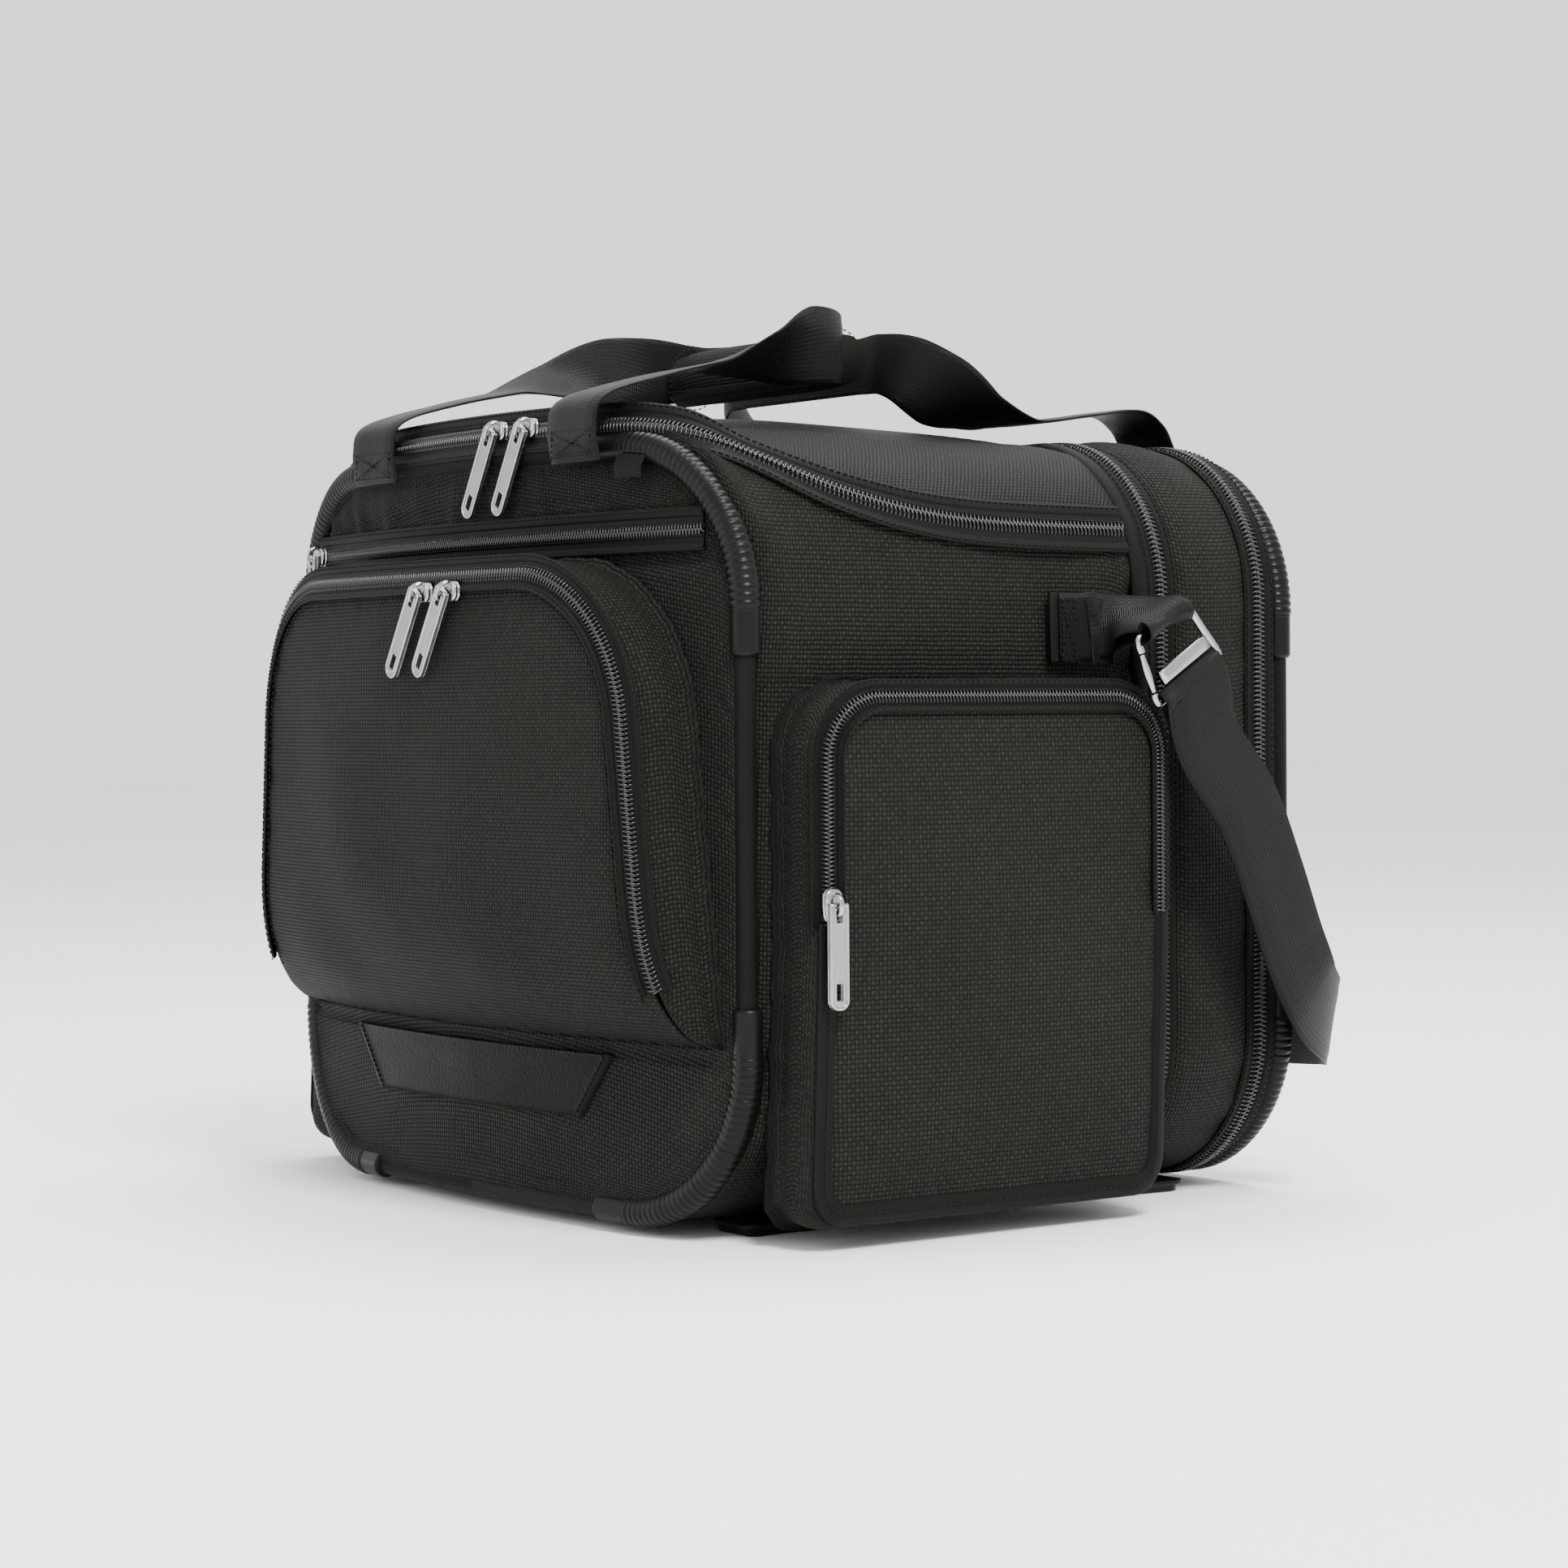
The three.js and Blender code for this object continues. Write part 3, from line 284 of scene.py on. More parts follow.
def grid(p, closed_u=False, closed_v=False, ref_u=0, flip=False):
    """Faces and corner UVs in metres of cloth for rows of points p[v, u]."""
    nv, nu = p.shape[:2]
    u = lengths(p, 1, closed_u)
    v = lengths(p, 0, closed_v)
    u = u - u[:, [ref_u]]
    if closed_u:
        v = np.concatenate([v, v[:, :1]], 1)
    if closed_v:
        u = np.concatenate([u, u[:1]], 0)
    corners = corner_grid(nv if closed_v else nv - 1, nu if closed_u else nu - 1)
    if flip:
        corners = corners[::-1]
    faces = np.stack([(a % nv) * nu + b % nu for a, b in corners], 1)
    uv = np.stack([np.stack([u[a, b], v[a, b]], 1) for a, b in corners], 1)
    return faces, uv.reshape(-1, 2)


def capped(p, flip=False):
    """Faces and corner UVs of a skin round closed sections p, with both ends closed."""
    count = p.shape[1]
    faces, uv = grid(p, closed_u=True, flip=flip)
    ends = [np.arange(count)[None, ::-1], (len(p) - 1) * count + np.arange(count)[None]]
    if flip:
        ends = [end[:, ::-1] for end in ends]
    return [faces, *ends], np.concatenate([uv, np.zeros((2 * count, 2))])


def thicken(obj, thick, inside=None, offset=-1.0):
    """Give cloth a second side, thick in mm, with inside as that side's material."""
    mod = obj.modifiers.new("thick", "SOLIDIFY")
    mod.thickness, mod.offset = thick / 1000, offset
    if inside is not None:
        obj.data.materials.append(inside)
        mod.material_offset = 1
    bpy.context.view_layer.update()
    graph = bpy.context.evaluated_depsgraph_get()
    mesh = bpy.data.meshes.new_from_object(obj.evaluated_get(graph), preserve_all_data_layers=True,
                                           depsgraph=graph)
    obj.modifiers.clear()
    obj.data = mesh
    return obj


def surface(name, p, mat, thick, inside=LINING, offset=-1.0, **kw):
    """Cloth through rows of points."""
    faces, uv = grid(p, **kw)
    return thicken(make(name, p.reshape(-1, 3), [faces], mat, uv), thick, inside, offset)


def join(name, *objects):
    """Several meshes as one piece."""
    with bpy.context.temp_override(active_object=objects[0], object=objects[0],
                                   selected_objects=list(objects),
                                   selected_editable_objects=list(objects)):
        bpy.ops.object.join()
    objects[0].name = name
    return objects[0]


def unit(a):
    return a / np.maximum(np.linalg.norm(a, axis=-1, keepdims=True), 1e-9)


def resample(p, count=None, spacing=None, closed=False):
    p = np.asarray(p, float)
    if closed:
        p = np.concatenate([p, p[:1]])
    s = np.concatenate([[0], np.cumsum(np.linalg.norm(np.diff(p, axis=0), axis=1))])
    if count is None:
        count = max(int(round(s[-1] / spacing)), 2) + (0 if closed else 1)
    t = np.linspace(0, s[-1], count + 1)[:-1] if closed else np.linspace(0, s[-1], count)
    return np.stack([np.interp(t, s, p[:, k]) for k in range(p.shape[1])], 1)


def smooth_path(p, count, closed=False):
    """Catmull-Rom curve through points, evenly spaced."""
    p = np.asarray(p, float)
    q = np.concatenate([p[-1:], p, p[:2]]) if closed else np.concatenate(
        [2 * p[:1] - p[1:2], p, 2 * p[-1:] - p[-2:-1]])
    out = []
    for k in range(len(q) - 3):
        a, b, c, d = q[k:k + 4]
        t = np.linspace(0, 1, 24, endpoint=False)[:, None]
        out.append(0.5 * ((2 * b) + (c - a) * t + (2 * a - 5 * b + 4 * c - d) * t ** 2
                          + (3 * b - a - 3 * c + d) * t ** 3))
    out = np.concatenate(out + [q[-2:-1]])
    return resample(out[:-1] if closed else out, count, closed=closed)


def soften(a, times=4, closed=False):
    a = np.array(a, float)
    for _ in range(times):
        if closed:
            a = (np.roll(a, 1, 0) + 2 * a + np.roll(a, -1, 0)) / 4
        else:
            a[1:-1] = (a[:-2] + 2 * a[1:-1] + a[2:]) / 4
    return a


def frames(path, normal, closed=False):
    """Tangent, across and normal along a path; across = normal x tangent."""
    if closed:
        t = unit(np.roll(path, -1, 0) - np.roll(path, 1, 0))
    else:
        t = unit(np.gradient(path, axis=0))
    n = unit(normal - t * np.sum(normal * t, 1, keepdims=True))
    return t, np.cross(n, t), n


def sweep(name, path, normal, section, mat, closed=False, scale=1.0):
    """A closed section (across, out), in mm, carried along a path."""
    _, a, n = frames(path, normal, closed)
    s = np.asarray(section, float)[None] * np.reshape(scale, (-1, 1, 1))
    p = path[:, None] + a[:, None] * s[..., :1] + n[:, None] * s[..., 1:]
    if closed:
        faces, uv = grid(p, closed_u=True, closed_v=True)
        faces = [faces]
    else:
        faces, uv = capped(p)
    return make(name, p.reshape(-1, 3), faces, mat, uv)


def round_section(ru, rv, sides=12, centre=(0, 0)):
    a = np.arange(sides) * 2 * math.pi / sides
    return np.stack([centre[0] + ru * np.cos(a), centre[1] + rv * np.sin(a)], 1)


def slab_section(u0, u1, low, high, r=0.5):
    """Rounded rectangle from u0 to u1 across and from low to high."""
    out = []
    r = min(r, (high - low) / 2.01, (u1 - u0) / 2.01)
    for cx, cy, start in ((u1 - r, low + r, -90), (u1 - r, high - r, 0), (u0 + r, high - r, 90),
                          (u0 + r, low + r, 180)):
        for k in range(3):
            ang = math.radians(start + 45 * k)
            out.append((cx + r * math.cos(ang), cy + r * math.sin(ang)))
    return out


def tubes(name, middle, e, f, fat, mat, ends=False):
    """Short six-sided tubes, one for each row of middle points; e and f span their sections."""
    count, stations = middle.shape[:2]
    ring = np.arange(6) * math.pi / 3
    p = (middle[:, :, None] + e[:, :, None] * (fat[:, None] * np.cos(ring))[None, ..., None]
         + f[:, :, None] * (fat[:, None] * np.sin(ring))[None, ..., None])
    one = np.stack([i * 6 + j % 6 for i, j in corner_grid(stations - 1, 6)], 1)
    base = (np.arange(count) * stations * 6)[:, None, None]
    faces = [(one[None] + base).reshape(-1, 4)]
    if ends:
        faces.append((np.array([[0, 1, 2, 3], [0, 3, 4, 5]])[None] + base).reshape(-1, 4))
    return make(name, p.reshape(-1, 3), faces, mat)


def stitches(name, path, normal, pitch=3.4, size=2.5, radius=0.33, closed=False, lift=0.15):
    """A row of thread stitches lying on a seam, each with sunk ends."""
    path = np.asarray(path, float)
    normal = np.broadcast_to(normal, path.shape)
    at = resample(path, spacing=pitch, closed=closed)
    nearest = np.argmin(np.linalg.norm(at[:, None] - path[None], axis=2), 1)
    t, a, n = frames(at, unit(normal[nearest]), closed)
    along = np.array([-0.5, -0.38, -0.2, 0, 0.2, 0.38, 0.5])[:, None] * size
    high = np.array([-0.5, 0.25, 0.85, 1.0, 0.85, 0.25, -0.5])[:, None] * radius + lift
    wide = np.array([0.25, 0.8, 1, 1, 1, 0.8, 0.25]) * radius
    middle = at[:, None] + t[:, None] * along + n[:, None] * high
    return tubes(name, middle, a[:, None], n[:, None], wide, THREAD)


def coil(name, path, normal, side, pitch, wide, high, wire, closed, start):
    """One half of a coil zip: bent loops along the path. side +1 lies across, -1 against."""
    rows = np.concatenate([path, *frames(path, normal, closed)], 1)
    if closed:
        rows = np.concatenate([rows, rows[:1]])
    steps = np.linalg.norm(np.diff(rows[:, :3], axis=0), axis=1)
    s = np.concatenate([[0], np.cumsum(steps)])
    count = int(s[-1] / pitch)
    at = (np.arange(count) + 0.5 + start) * s[-1] / count
    at = np.mod(at, s[-1]) if closed else np.clip(at, 0, s[-1])
    got = np.stack([np.interp(at, s, rows[:, k]) for k in range(12)], 1)[:, None]
    c, t, a, n = got[..., :3], unit(got[..., 3:6]), unit(got[..., 6:9]) * side, unit(got[..., 9:])
    q = np.linspace(0, 1, 8)[:, None]
    up = high * np.sin(np.clip(0.12 + 0.88 * q, 0, 1) * math.pi) ** 0.55
    up[0] = high * 0.45
    middle = c + a * (1.28 * q - 0.28) * wide + n * up + t * (0.5 - q) * pitch * 0.55
    d = unit(np.gradient(middle, axis=1))
    e = unit(np.cross(d, t + 0 * d))
    fat = wire * np.array([0.8, 1.12, 1.1, 1, 1, 1, 1, 0.9])
    return tubes(name, middle, e, np.cross(d, e), fat, COIL, ends=True)


def zip_half(name, path, normal, side, half, pitch, welt=2.6, closed=False):
    """Tape, coil, folded edge and stitching of one half of a zip, as one piece."""
    wide = pitch * 1.8
    lo, hi = sorted((0.35 * side, half * side))
    _, a, n = frames(path, normal, closed)
    edge = side * (half - 0.2)
    held = path + a * side * wide * 0.72 + n
    top = path + a * (edge + side * welt) + n * 1.45
    return join(
        name,
        sweep(name, path, normal, slab_section(lo, hi, 0, 0.9, 0.4), TAPE, closed),
        coil(name, path, normal, side, pitch, wide, 0.85 * pitch + 0.35, pitch * 0.25, closed,
             0.25 * side),
        stitches(name, held, n, pitch, pitch * 0.8, 0.26, closed, 0.55 * pitch),
        sweep(name, path, normal, round_section(welt, 0.85, 12, (edge + side * (welt - 1), 0.75)),
              BINDING, closed),
        stitches(name, top, n, 3.2, closed=closed))


def place(obj, body, *nodes, slot=None):
    if nodes:
        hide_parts(*nodes)
    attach(obj, body)
    return obj


# ---------- the bag's own lines, in design millimetres ----------
FRONT_R = (188 ** 2 + 20 ** 2) / 40
FRONT_C = FRONT_R - 20


def front_y(x, proud=0.0):
    return FRONT_C - np.sqrt((FRONT_R + proud) ** 2 - np.asarray(x, float) ** 2)


def front_normal(x):
    x = np.asarray(x, float)
    return unit(np.stack([x, -np.sqrt(FRONT_R ** 2 - x ** 2), 0 * x], -1))


zip_line = smooth_path([(-40, 349), (-8, 346), (20, 331), (60, 315), (120, 305), (230, 303)], 200)


def zip_z(y):
    return np.interp(y, zip_line[:, 0], zip_line[:, 1])


def rounded(left, right, low, high, low_r, high_r, count=None, crown=0.0, spacing=None):
    """Rounded rectangle, from the middle of its bottom edge and round to the right."""
    def arc(cx, cz, r, start):
        a = np.radians(start + np.linspace(0, 90, 19))
        return [(cx + r * math.cos(t), cz + r * math.sin(t)) for t in a]
    p = [((left + right) / 2, low)] + arc(right - low_r, low + low_r, low_r, -90)
    p += arc(right - high_r, high - high_r, high_r, 0)
    if crown:
        t = np.linspace(0, 1, 30)[1:-1]
        x0, x1 = right - high_r, left + high_r
        p += [(x0 + (x1 - x0) * k, high + 4 * crown * k * (1 - k)) for k in t]
    p += arc(left + high_r, high - high_r, high_r, 90) + arc(left + low_r, low + low_r, low_r, 180)
    return resample(p, count, spacing, closed=True)


def wobble(p, amount, size, seed):
    """Smooth pseudo-random number for each point, about -1 to 1 times amount."""
    r = np.random.default_rng(seed)
    out = np.zeros(p.shape[:-1])
    for _ in range(7):
        k = unit(r.normal(size=3)) * 2 * math.pi / (size * r.uniform(0.6, 1.8))
        out += np.sin(p @ k + r.uniform(0, 6.3))
    return amount * out / 3.2


def pucker(distance, s, depth, seed, reach=9.0, pitch=13.0):
    """Gathers along a seam: distance from it and place along it, both in mm."""
    r = np.random.default_rng(seed)
    wave = sum(np.sin(s * 2 * math.pi / (pitch * r.uniform(0.6, 1.9)) + r.uniform(0, 6.3))
               for _ in range(4)) / 2
    return depth * wave * np.exp(-np.maximum(distance, 0) / reach)


def bezier(points, count):
    """Curve drawn by any number of control points."""
    p = np.repeat(np.array(points, float)[:, None], count, 1)
    t = np.linspace(0, 1, count)[:, None]
    while len(p) > 1:
        p = p[:-1] * (1 - t) + p[1:] * t
    return p[0]


def upright(q, y):
    """Points (x, z) stood up at depth y."""
    return np.stack([q[..., 0], y + 0 * q[..., 0], q[..., 1]], -1)


def gather(rows, out, step, run, depth, seed, reach, pitch, share=1.0):
    """Gathers along both edges of a gusset: rows lie step mm apart, their points run mm."""
    k = np.arange(len(rows))
    wave = pucker(np.minimum(k, k[::-1])[:, None] * step, np.arange(rows.shape[1])[None] * run,
                  depth, seed, reach=reach, pitch=pitch)
    return rows + unit(out) * (wave * share)[..., None]


def closing(rim, centre, count):
    """Points of rings from a rim to its middle, each ring's share, and how far from the rim."""
    share = (1 - np.linspace(0, 1, count)[:-1] ** 1.5)[:, None]
    far = np.linalg.norm(rim - centre, axis=1) * (1 - share)
    return centre + (rim - centre) * share[..., None], share, far


def crowned(name, rows, mat, flat, flip=False):
    """A face from rings that close on its middle, with cloth that runs straight over it."""
    count = rows.shape[1]
    faces, _ = grid(rows, closed_u=True, flip=flip)
    cap = (len(rows) - 1) * count + np.arange(count)[None, ::-1 if flip else 1]
    p = rows.reshape(-1, 3)
    flat_uv = p[:, flat] / 1000
    uv = np.concatenate([flat_uv[faces].reshape(-1, 2), flat_uv[cap[0]]])
    return make(name, p, [faces, cap], mat, uv)


def edge_zip(name, path, face, middle, lean, halves, pitch):
    """Outer and inner half of a zip round a raised pocket; it leans out from middle."""
    outward = unit(np.cross(unit(np.gradient(path, axis=0)), face))
    outward *= np.sign(np.sum(outward * (path - middle), 1))[:, None]
    normal = unit(face * lean[0] + outward * lean[1])
    _, across, _ = frames(path, normal)
    side = 1 if np.sum(across[150] * outward[150]) > 0 else -1
    return [zip_half(f"{name}_{part}", path, normal, side * turn, half, pitch, welt=1.8)
            for part, turn, half in zip(("outer", "inner"), (1, -1), halves)]


# ---------- body and lid ----------
# Contour of the walls seen from above: right rear corner, bowed front, left rear corner.
turn_x = 164.0
turn_y = float(front_y(turn_x, -4.2))
half_plan = [(188, y) for y in np.linspace(208.6, turn_y + 26, 30)]
half_plan += bezier([(188, turn_y + 24), (188, turn_y), (turn_x, turn_y)], 12).tolist()
half_plan += [(x, float(front_y(x, -4.2))) for x in np.linspace(160, 0, 26)]
half_plan = resample(half_plan, 92)

outline = rounded(-188, 188, 6, 345, 66, 66, 560, crown=14)
lid_top = bezier([(209, 340), (159, 361), (60, 363), (-25.2, 352)], 60)[::-1]


def body_rows(above, count, gap):
    """Rows of the body (below the zip) or lid (above it), one for each place along the plan."""
    rows = []
    for x_limit, y in half_plan[:-1]:
        steep = math.sqrt(max(0.01, 1 - min(1, max(0, (zip_z(y) - 279) / 66)) ** 2))
        z_cut = zip_z(y) + (gap if above else -gap) * steep
        p = outline.copy()
        p[:, 0] = np.clip(p[:, 0], -x_limit, x_limit)
        if above:
            p[:, 1] = np.minimum(p[:, 1], np.interp(y, lid_top[:, 0], lid_top[:, 1]))
        right = p[:281]
        climb = right[60:260] if above else right[60:]
        edge = [(np.interp(z_cut, climb[:, 1], climb[:, 0]), z_cut)]
        run = right[(right[:, 1] > z_cut) == above]
        run = np.concatenate([edge, run] if above else [run, edge])
        mirrored = (run * (-1, 1))[::-1]
        q = resample(np.concatenate([run, mirrored] if above else [mirrored, run]), count)
        rows.append(upright(q, y))
    return np.array(rows)


below = body_rows(False, 170, 2.0)
below_edge = zip_z(below[..., 1]) - below[..., 2]
side = np.clip((np.abs(below[..., 0]) - 150) / 30, 0, 1) * np.clip((below[..., 1] - 2) / 25, 0, 1)
fall = np.clip((below[..., 2] - 30) / 60, 0, 1) * np.clip((205 - below[..., 1]) / 30, 0, 1)
swell = np.where(below[..., 2] > 236, np.clip(below[..., 1] / 40, 0, 1), 0.15) * fall
push = pucker(below_edge, below[..., 1], 0.9, 3) + swell * (wobble(below, 1.5, 90, 4) - 0.6)
push += pucker(np.abs(below[..., 2] - 238), below[..., 1], 0.7, 5, reach=14) * side
push += pucker(208 - below[..., 1], below[..., 2], 1.0, 6, reach=12) * side
flat_out = np.stack([np.sign(below[..., 0]), 0 * side, 0 * side], -1)
below = below + flat_out * (push * side)[..., None]
body = surface("body_skin", below, NYLON, 1.6, ref_u=85)

above = body_rows(True, 170, 2.0)
lid_edge = above[..., 2] - zip_z(above[..., 1])
bulge = wobble(above, 1.3, 120, 8) * np.clip(lid_edge / 25, 0, 1)
bulge += pucker(lid_edge, above[..., 1] + above[..., 0], 0.8, 9) * np.clip(lid_edge / 5, 0, 1)
above[..., 2] += bulge
lid = surface("lid_skin", above, LIDCLOTH, 2.0, ref_u=85)

# main zip: path along the cut, right rear to left rear
path = []
for y in np.linspace(207.5, -7, 90):
    z = zip_z(y)
    inner = outline[60:281]
    path.append((np.interp(z, inner[:, 1], inner[:, 0]), y, z))
for x in np.linspace(path[-1][0] - 3, 0, 40):
    y = float(front_y(x, -4.0))
    path.append((x, y, float(zip_z(y))))
path = np.array(path)
path = np.concatenate([path, (path * (-1, 1, 1))[-2::-1]])
path = resample(path, spacing=2.5)
path = soften(path, 6)
x, y, z = path.T
shoulder = np.clip((z - 279) / 66, 0, 0.85)
at_front = 1 / (1 + np.exp((y - 4) / 5))
normal = np.stack([np.sign(x) * np.sqrt(1 - shoulder ** 2) * (1 - at_front) + 0.35 * at_front
                   * x / 120, -0.9 * at_front, shoulder * (1 - at_front) + 0.42 * at_front], 1)
normal = unit(soften(normal, 12))
main_path = path + normal * 0.6
place(zip_half("main_zip_lower", main_path, normal, 1, 7.4, 2.15), "body", "body_zip",
      slot="zip_coil")
place(zip_half("main_zip_upper", main_path, normal, -1, 7.4, 2.15), "lid", "lid_zip",
      slot="zip_coil")
place(body, "body", "body_shell", slot="ballistic_nylon")
place(lid, "lid", "lid", slot="ballistic_nylon")


# ---------- edge rings: piping and corner sleeves ----------
RING = dict(half=184, low=10, high=337, r=69)


def ring_path(depth_at):
    p = rounded(-RING["half"], RING["half"], RING["low"], RING["high"], RING["r"], RING["r"],
                spacing=1.2)
    return upright(p, depth_at(p[:, 0]))


def ring_normal(path):
    half = RING["half"] - RING["r"]
    low, high = RING["low"] + RING["r"], RING["high"] - RING["r"]
    x, _, z = path.T
    return unit(np.stack([x - np.clip(x, -half, half), 0 * x, z - np.clip(z, low, high)], 1))


def sleeve(name, path, normal, keep, radius=6.9):
    """Corrugated rubber sleeve over the part of a ring where keep is true, with plain ends."""
    start = int(np.argmax(keep & ~np.roll(keep, 1)))
    p, n = np.roll(path, -start, 0), np.roll(normal, -start, 0)
    count = int(keep.sum())
    p, n = p[:count], n[:count]
    p2 = resample(p, spacing=0.42)
    d = np.linalg.norm(p2[:, None] - p[None], axis=2)
    n2 = soften(n[np.argmin(d, 1)], 8)
    s = np.arange(len(p2)) * 0.42
    total = s[-1]
    end = np.minimum(s, total - s)
    ridge = np.abs(np.sin(s * math.pi / 3.3)) ** 0.55
    r = np.where(end > 19, radius - 0.75 + 0.75 * ridge, radius - 0.55)
    r = np.where(end < 1.2, r - (1.2 - end) * 0.7, r)
    return sweep(name, p2, n2, round_section(1, 1, 24), RUBBER, scale=r)


front_path = ring_path(lambda x: front_y(x) + 2.5)
rear_path = ring_path(lambda x: 0 * x + 301.5)
for end, path, body_name in (("front", front_path, "body"), ("rear", rear_path, "rear_cover")):
    n = soften(ring_normal(path), 6, closed=True)
    pipe = sweep(f"{end}_edge_piping", path, n, round_section(4.5, 4.5, 16), BINDING, closed=True)
    place(pipe, body_name, f"{end}_piping", slot="piping")
    for zone, sx, sz in (("top_right", 1, 1), ("top_left", -1, 1), ("bottom_right", 1, -1),
                         ("bottom_left", -1, -1)):
        edge_z = 343 if sz > 0 else 4
        keep = (np.abs(path[:, 0] - sx * 190) < 97) & (np.abs(path[:, 2] - edge_z) < 97)
        part = sleeve(f"{end}_sleeve_{zone}", path, n, keep)
        place(part, body_name, f"{end}_bumper_{zone}", slot="rubber")


# ---------- front panel ----------
def half_width_at(z, half, low, high, low_r, high_r):
    z = np.asarray(z, float)
    inset = np.zeros_like(z)
    a = np.clip(low + low_r - z, 0, low_r)
    b = np.clip(z - (high - high_r), 0, high_r)
    inset += low_r - np.sqrt(np.maximum(low_r ** 2 - a ** 2, 0))
    inset += high_r - np.sqrt(np.maximum(high_r ** 2 - b ** 2, 0))
    return half - inset


def panel_rows(z_low, z_high, rows, cols, proud):
    z = np.linspace(z_low, z_high, rows)
    w = half_width_at(z, 185, 9, 338, 70, 70)
    s = np.sin(np.linspace(-math.pi / 2, math.pi / 2, cols)) * 0.35 + np.linspace(-1, 1, cols) * 0.65
    x = w[:, None] * s[None]
    p = np.stack([x, front_y(x, proud), np.repeat(z[:, None], cols, 1)], 2)
    return p, np.minimum(w[:, None] - np.abs(x), 40)


def front_push(p, amount):
    return p + front_normal(p[..., 0]) * amount[..., None]


p, edge = panel_rows(11, 337, 190, 240, 0.0)
top = p[..., 2] > 306
depth = (wobble(p, 0.8, 70, 21) - 0.4) * np.clip(edge / 30, 0, 1)
depth += pucker(edge, p[..., 2] + p[..., 0], 0.7, 22, reach=7)
depth += pucker(np.abs(p[..., 2] - 314), p[..., 0], 0.9, 23, reach=10, pitch=22) * top
depth += 1.5 * (p[..., 2] < 286) * np.clip(edge / 6, 0, 1)
for z_seam, width in ((314.5, 2.2), (286, 2.0), (78.5, 2.0)):
    depth -= 0.9 * np.exp(-((p[..., 2] - z_seam) / width) ** 2)
panel = surface("front_cloth", front_push(p, depth), NYLON, 2.6, ref_u=120)
place(panel, "body", "front_panel", slot="ballistic_nylon")


def front_line(z, x0, x1, proud, count=120):
    x = np.linspace(x0, x1, count)
    return np.stack([x, front_y(x, proud), np.full(count, float(z))], 1)


seams = []
for k, (z, half) in enumerate(((311.5, 158), (289.5, 168), (82.5, 174), (75, 173))):
    line = front_line(z, -half, half, 1.4 if z < 286 else 0.2)
    seams.append(stitches(f"seam_{k}", line, front_normal(line[:, 0])))
# edge stitching inside the piping
edge_line = rounded(-176, 176, 19, 329, 62, 62, spacing=3)
edge_line = upright(edge_line, front_y(edge_line[:, 0], 0.6))
seams.append(stitches("seam_edge", edge_line, front_normal(edge_line[:, 0]), closed=True))
place(join("front_stitching", *seams), "body")

# slip pocket zip, partly hidden between two folded edges
line = front_line(300, -165, 165, 0.6)
n = front_normal(line[:, 0])
up_half = zip_half("slip_zip_upper", line, n, -1, 6.4, 1.9, welt=2.0)
low_half = zip_half("slip_zip_lower", line, n, 1, 6.4, 1.9, welt=2.4)
place(join("slip_zip", up_half, low_half), "body", "slip_pocket_zip", slot="zip_coil")

# leather patch: padded edge, plain face
patch = resample([(-90, 48), (86, 48), (108, 77), (-117, 77)], 160, closed=True)
rings = np.array([1, 0.995, 0.985, 0.965, 0.94, 0.9, 0.8, 0.6, 0.4, 0.2, 0.02])
lift = np.array([0.2, 0.9, 1.3, 1.5, 1.15, 1.1, 1.15, 1.2, 1.2, 1.2, 1.2])
middle = np.array((-3, 62.5))
q = middle + (patch - middle) * rings[:, None, None]
rows = upright(q, front_y(q[..., 0], 1.6 + lift[:, None]))
leather = crowned("leather_label", rows, LEATHER, (0, 2))
q = middle + (patch - middle) * 0.955
line = upright(q, front_y(q[:, 0], 2.9))
leather = join("leather_label", leather,
               stitches("patch_sew", line, front_normal(line[:, 0]), closed=True, pitch=3))
place(leather, "body", "leather_patch", slot="leather")


# ---------- front pocket ----------
def pocket_outline(inset, low, count=420):
    """Left bottom, up, over and down to right bottom."""
    rise = (low - 84) / 133
    half_low = 174 - 14 * rise - inset
    half, top = 160 - inset, 289 - inset
    top_x = half - 72 + inset
    bend = 0.55 * (72 - inset)
    right = np.concatenate([[(half_low, low)],
                            bezier([(half, 217), (half - 2, 217 + bend), (top_x + bend, top),
                                    (top_x, top)], 40)])
    return resample(np.concatenate([right, (right * (-1, 1))[::-1]])[::-1], count)


def taper(z):
    """Share of the pocket's depth at a height: it draws in to its bottom seam."""
    t = np.clip((np.asarray(z, float) - 84) / 70, 0, 1)
    return np.sqrt(np.maximum(1 - (1 - t) ** 2.4, 0))


def on_front(q, proud):
    return upright(q, front_y(q[..., 0], 1.6 + (proud - 1.6) * taper(q[..., 1])))


# gusset wall from the panel to the zip, bulging, with a rounded outer edge
profile = [(-2.5, 0.8), (0.2, 2.0), (0.6, 6), (-0.6, 12), (-0.9, 18), (-0.3, 24), (0.3, 28.5),
           (1.6, 31.6), (3.2, 32.6), (4.6, 32.6)]
rows = np.array([on_front(pocket_outline(inset + 0.6, 84), 1.5 + proud * 0.955)
                 for inset, proud in smooth_path(profile, 26)])
x, z = rows[..., 0], rows[..., 2]
rows = gather(rows, np.stack([x / 160, 0 * x, (z - 180) / 110], -1), 1.4, 2.0, 0.6, 31, 6, 18)
gusset = surface("pocket_gusset", rows, NYLON, 2.0, ref_u=210, flip=True)

zip_q = pocket_outline(5.6, 108)
outer, inner = edge_zip("pocket_zip", on_front(zip_q, 33.6), front_normal(zip_q[:, 0]),
                        (0, 0, 170), (0.93, 0.36), (6.4, 5.2), 1.95)
place(outer, "body", "front_pocket_zip", slot="zip_coil")

